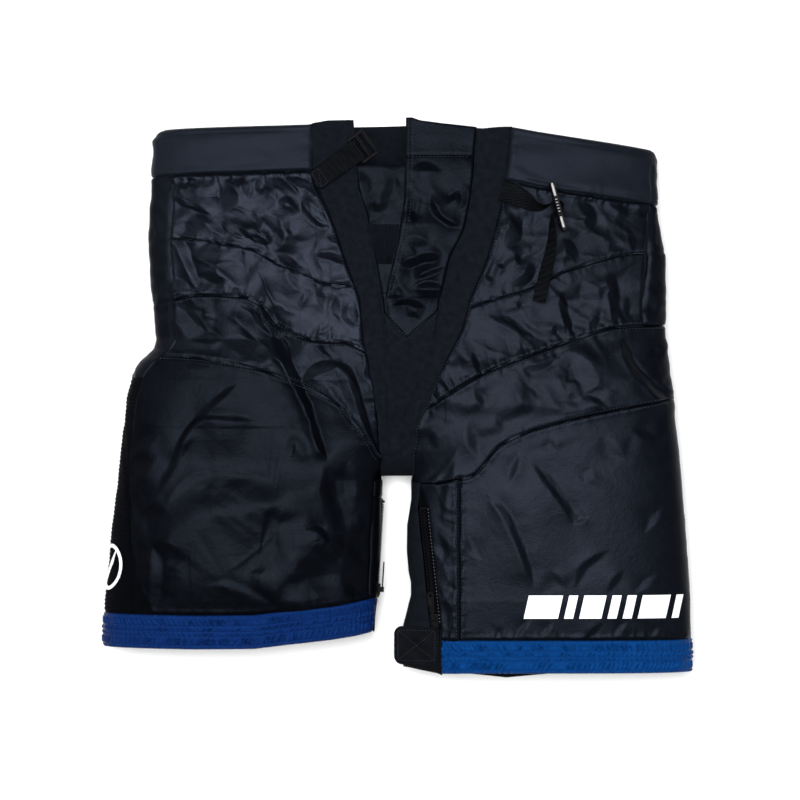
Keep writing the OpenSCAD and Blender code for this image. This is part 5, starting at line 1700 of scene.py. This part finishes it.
# ---------------------------------------------------------------- build everything
waistband()
shell_front()
strips()
fly()
gusset()
shell_sides()
shell_back()
inner_legs()
hems()
pads()
seams()
prints()
belt_right()
belt_left()
hem_tab("hem_tab_left", TAB_LEFT_AT, TAB_LEFT_SLOPE, "left_tab", TAB_LEFT_L)
hem_tab("hem_tab_right", TAB_RIGHT_AT, TAB_RIGHT_SLOPE, "right_tab", TAB_L)
zip_fastener("zip_left", (38, -224, 73), (26, -110, 68), -28, "left_leg")
zip_fastener("zip_right", (-21.5, -196, 43), (-16, -104, 43), 90, "right_leg")
soften("buckle_left", BUCKLE, 1.1)
plate_ends()
for name in ("zip_slider_right", "zip_slider_left", "zip_pull_right", "zip_pull_left"):
    soften(name, ZIP_PART, 0.35)


# ---------------------------------------------------------------- floor, light and camera
def floor():
    size = 3000
    points = [(x * size, y * size, -0.3) for x in (-1, 1) for y in (-1, 1)]
    material, tree, shader = nodes_of("floor")
    where = node(tree, "ShaderNodeTexCoord")
    cloud = node(tree, "ShaderNodeTexNoise", None, {"Vector": where.outputs["Object"], "Scale": 3.0})
    tree.links.new(ramp(tree, cloud.outputs["Fac"], [(0.3, (0.90, 0.90, 0.90)), (0.7, (0.92, 0.92, 0.92))]),
                   shader.inputs["Base Color"])
    shader.inputs["Roughness"].default_value = 0.9
    shader.inputs["Specular IOR Level"].default_value = 0.1
    obj = new_object("floor", np.array(points), [[0, 2, 3, 1]], [material])


def area_light(name, place, target, size, power):
    light = bpy.data.lights.new(name, "AREA")
    light.shape = "RECTANGLE"
    light.size, light.size_y = size
    light.energy = power
    obj = bpy.data.objects.new(name, light)
    bpy.context.scene.collection.objects.link(obj)
    obj.location = place
    obj.rotation_euler = (Vector(target) - Vector(place)).to_track_quat("-Z", "Y").to_euler()


def studio():
    floor()
    area_light("overhead", (-0.15, 0.25, 3.3), (0, 0, 0), (1.7, 1.7), 190)
    area_light("left", (-2.0, 0.9, 1.6), (0, 0, 0), (1.4, 1.0), 14)
    area_light("right", (2.1, -0.9, 1.6), (0, 0, 0), (1.4, 1.0), 8)
    world = bpy.data.worlds.new("studio")
    world.use_nodes = True
    world.node_tree.nodes["Background"].inputs["Color"].default_value = (0.95, 0.97, 1.0, 1)
    world.node_tree.nodes["Background"].inputs["Strength"].default_value = 0.14
    bpy.context.scene.world = world
    bpy.context.scene.view_settings.view_transform = "Standard"
    camera = bpy.data.objects.new("camera", bpy.data.cameras.new("camera"))
    bpy.context.scene.collection.objects.link(camera)
    height = 3.0
    field, picture_plane = 0.8, 0.05
    camera.data.sensor_width = 36
    camera.data.lens = 36 * (height - picture_plane) / field
    camera.location = (0.002, -0.001, height)
    camera.data.clip_end = 20
    bpy.context.scene.camera = camera


studio()
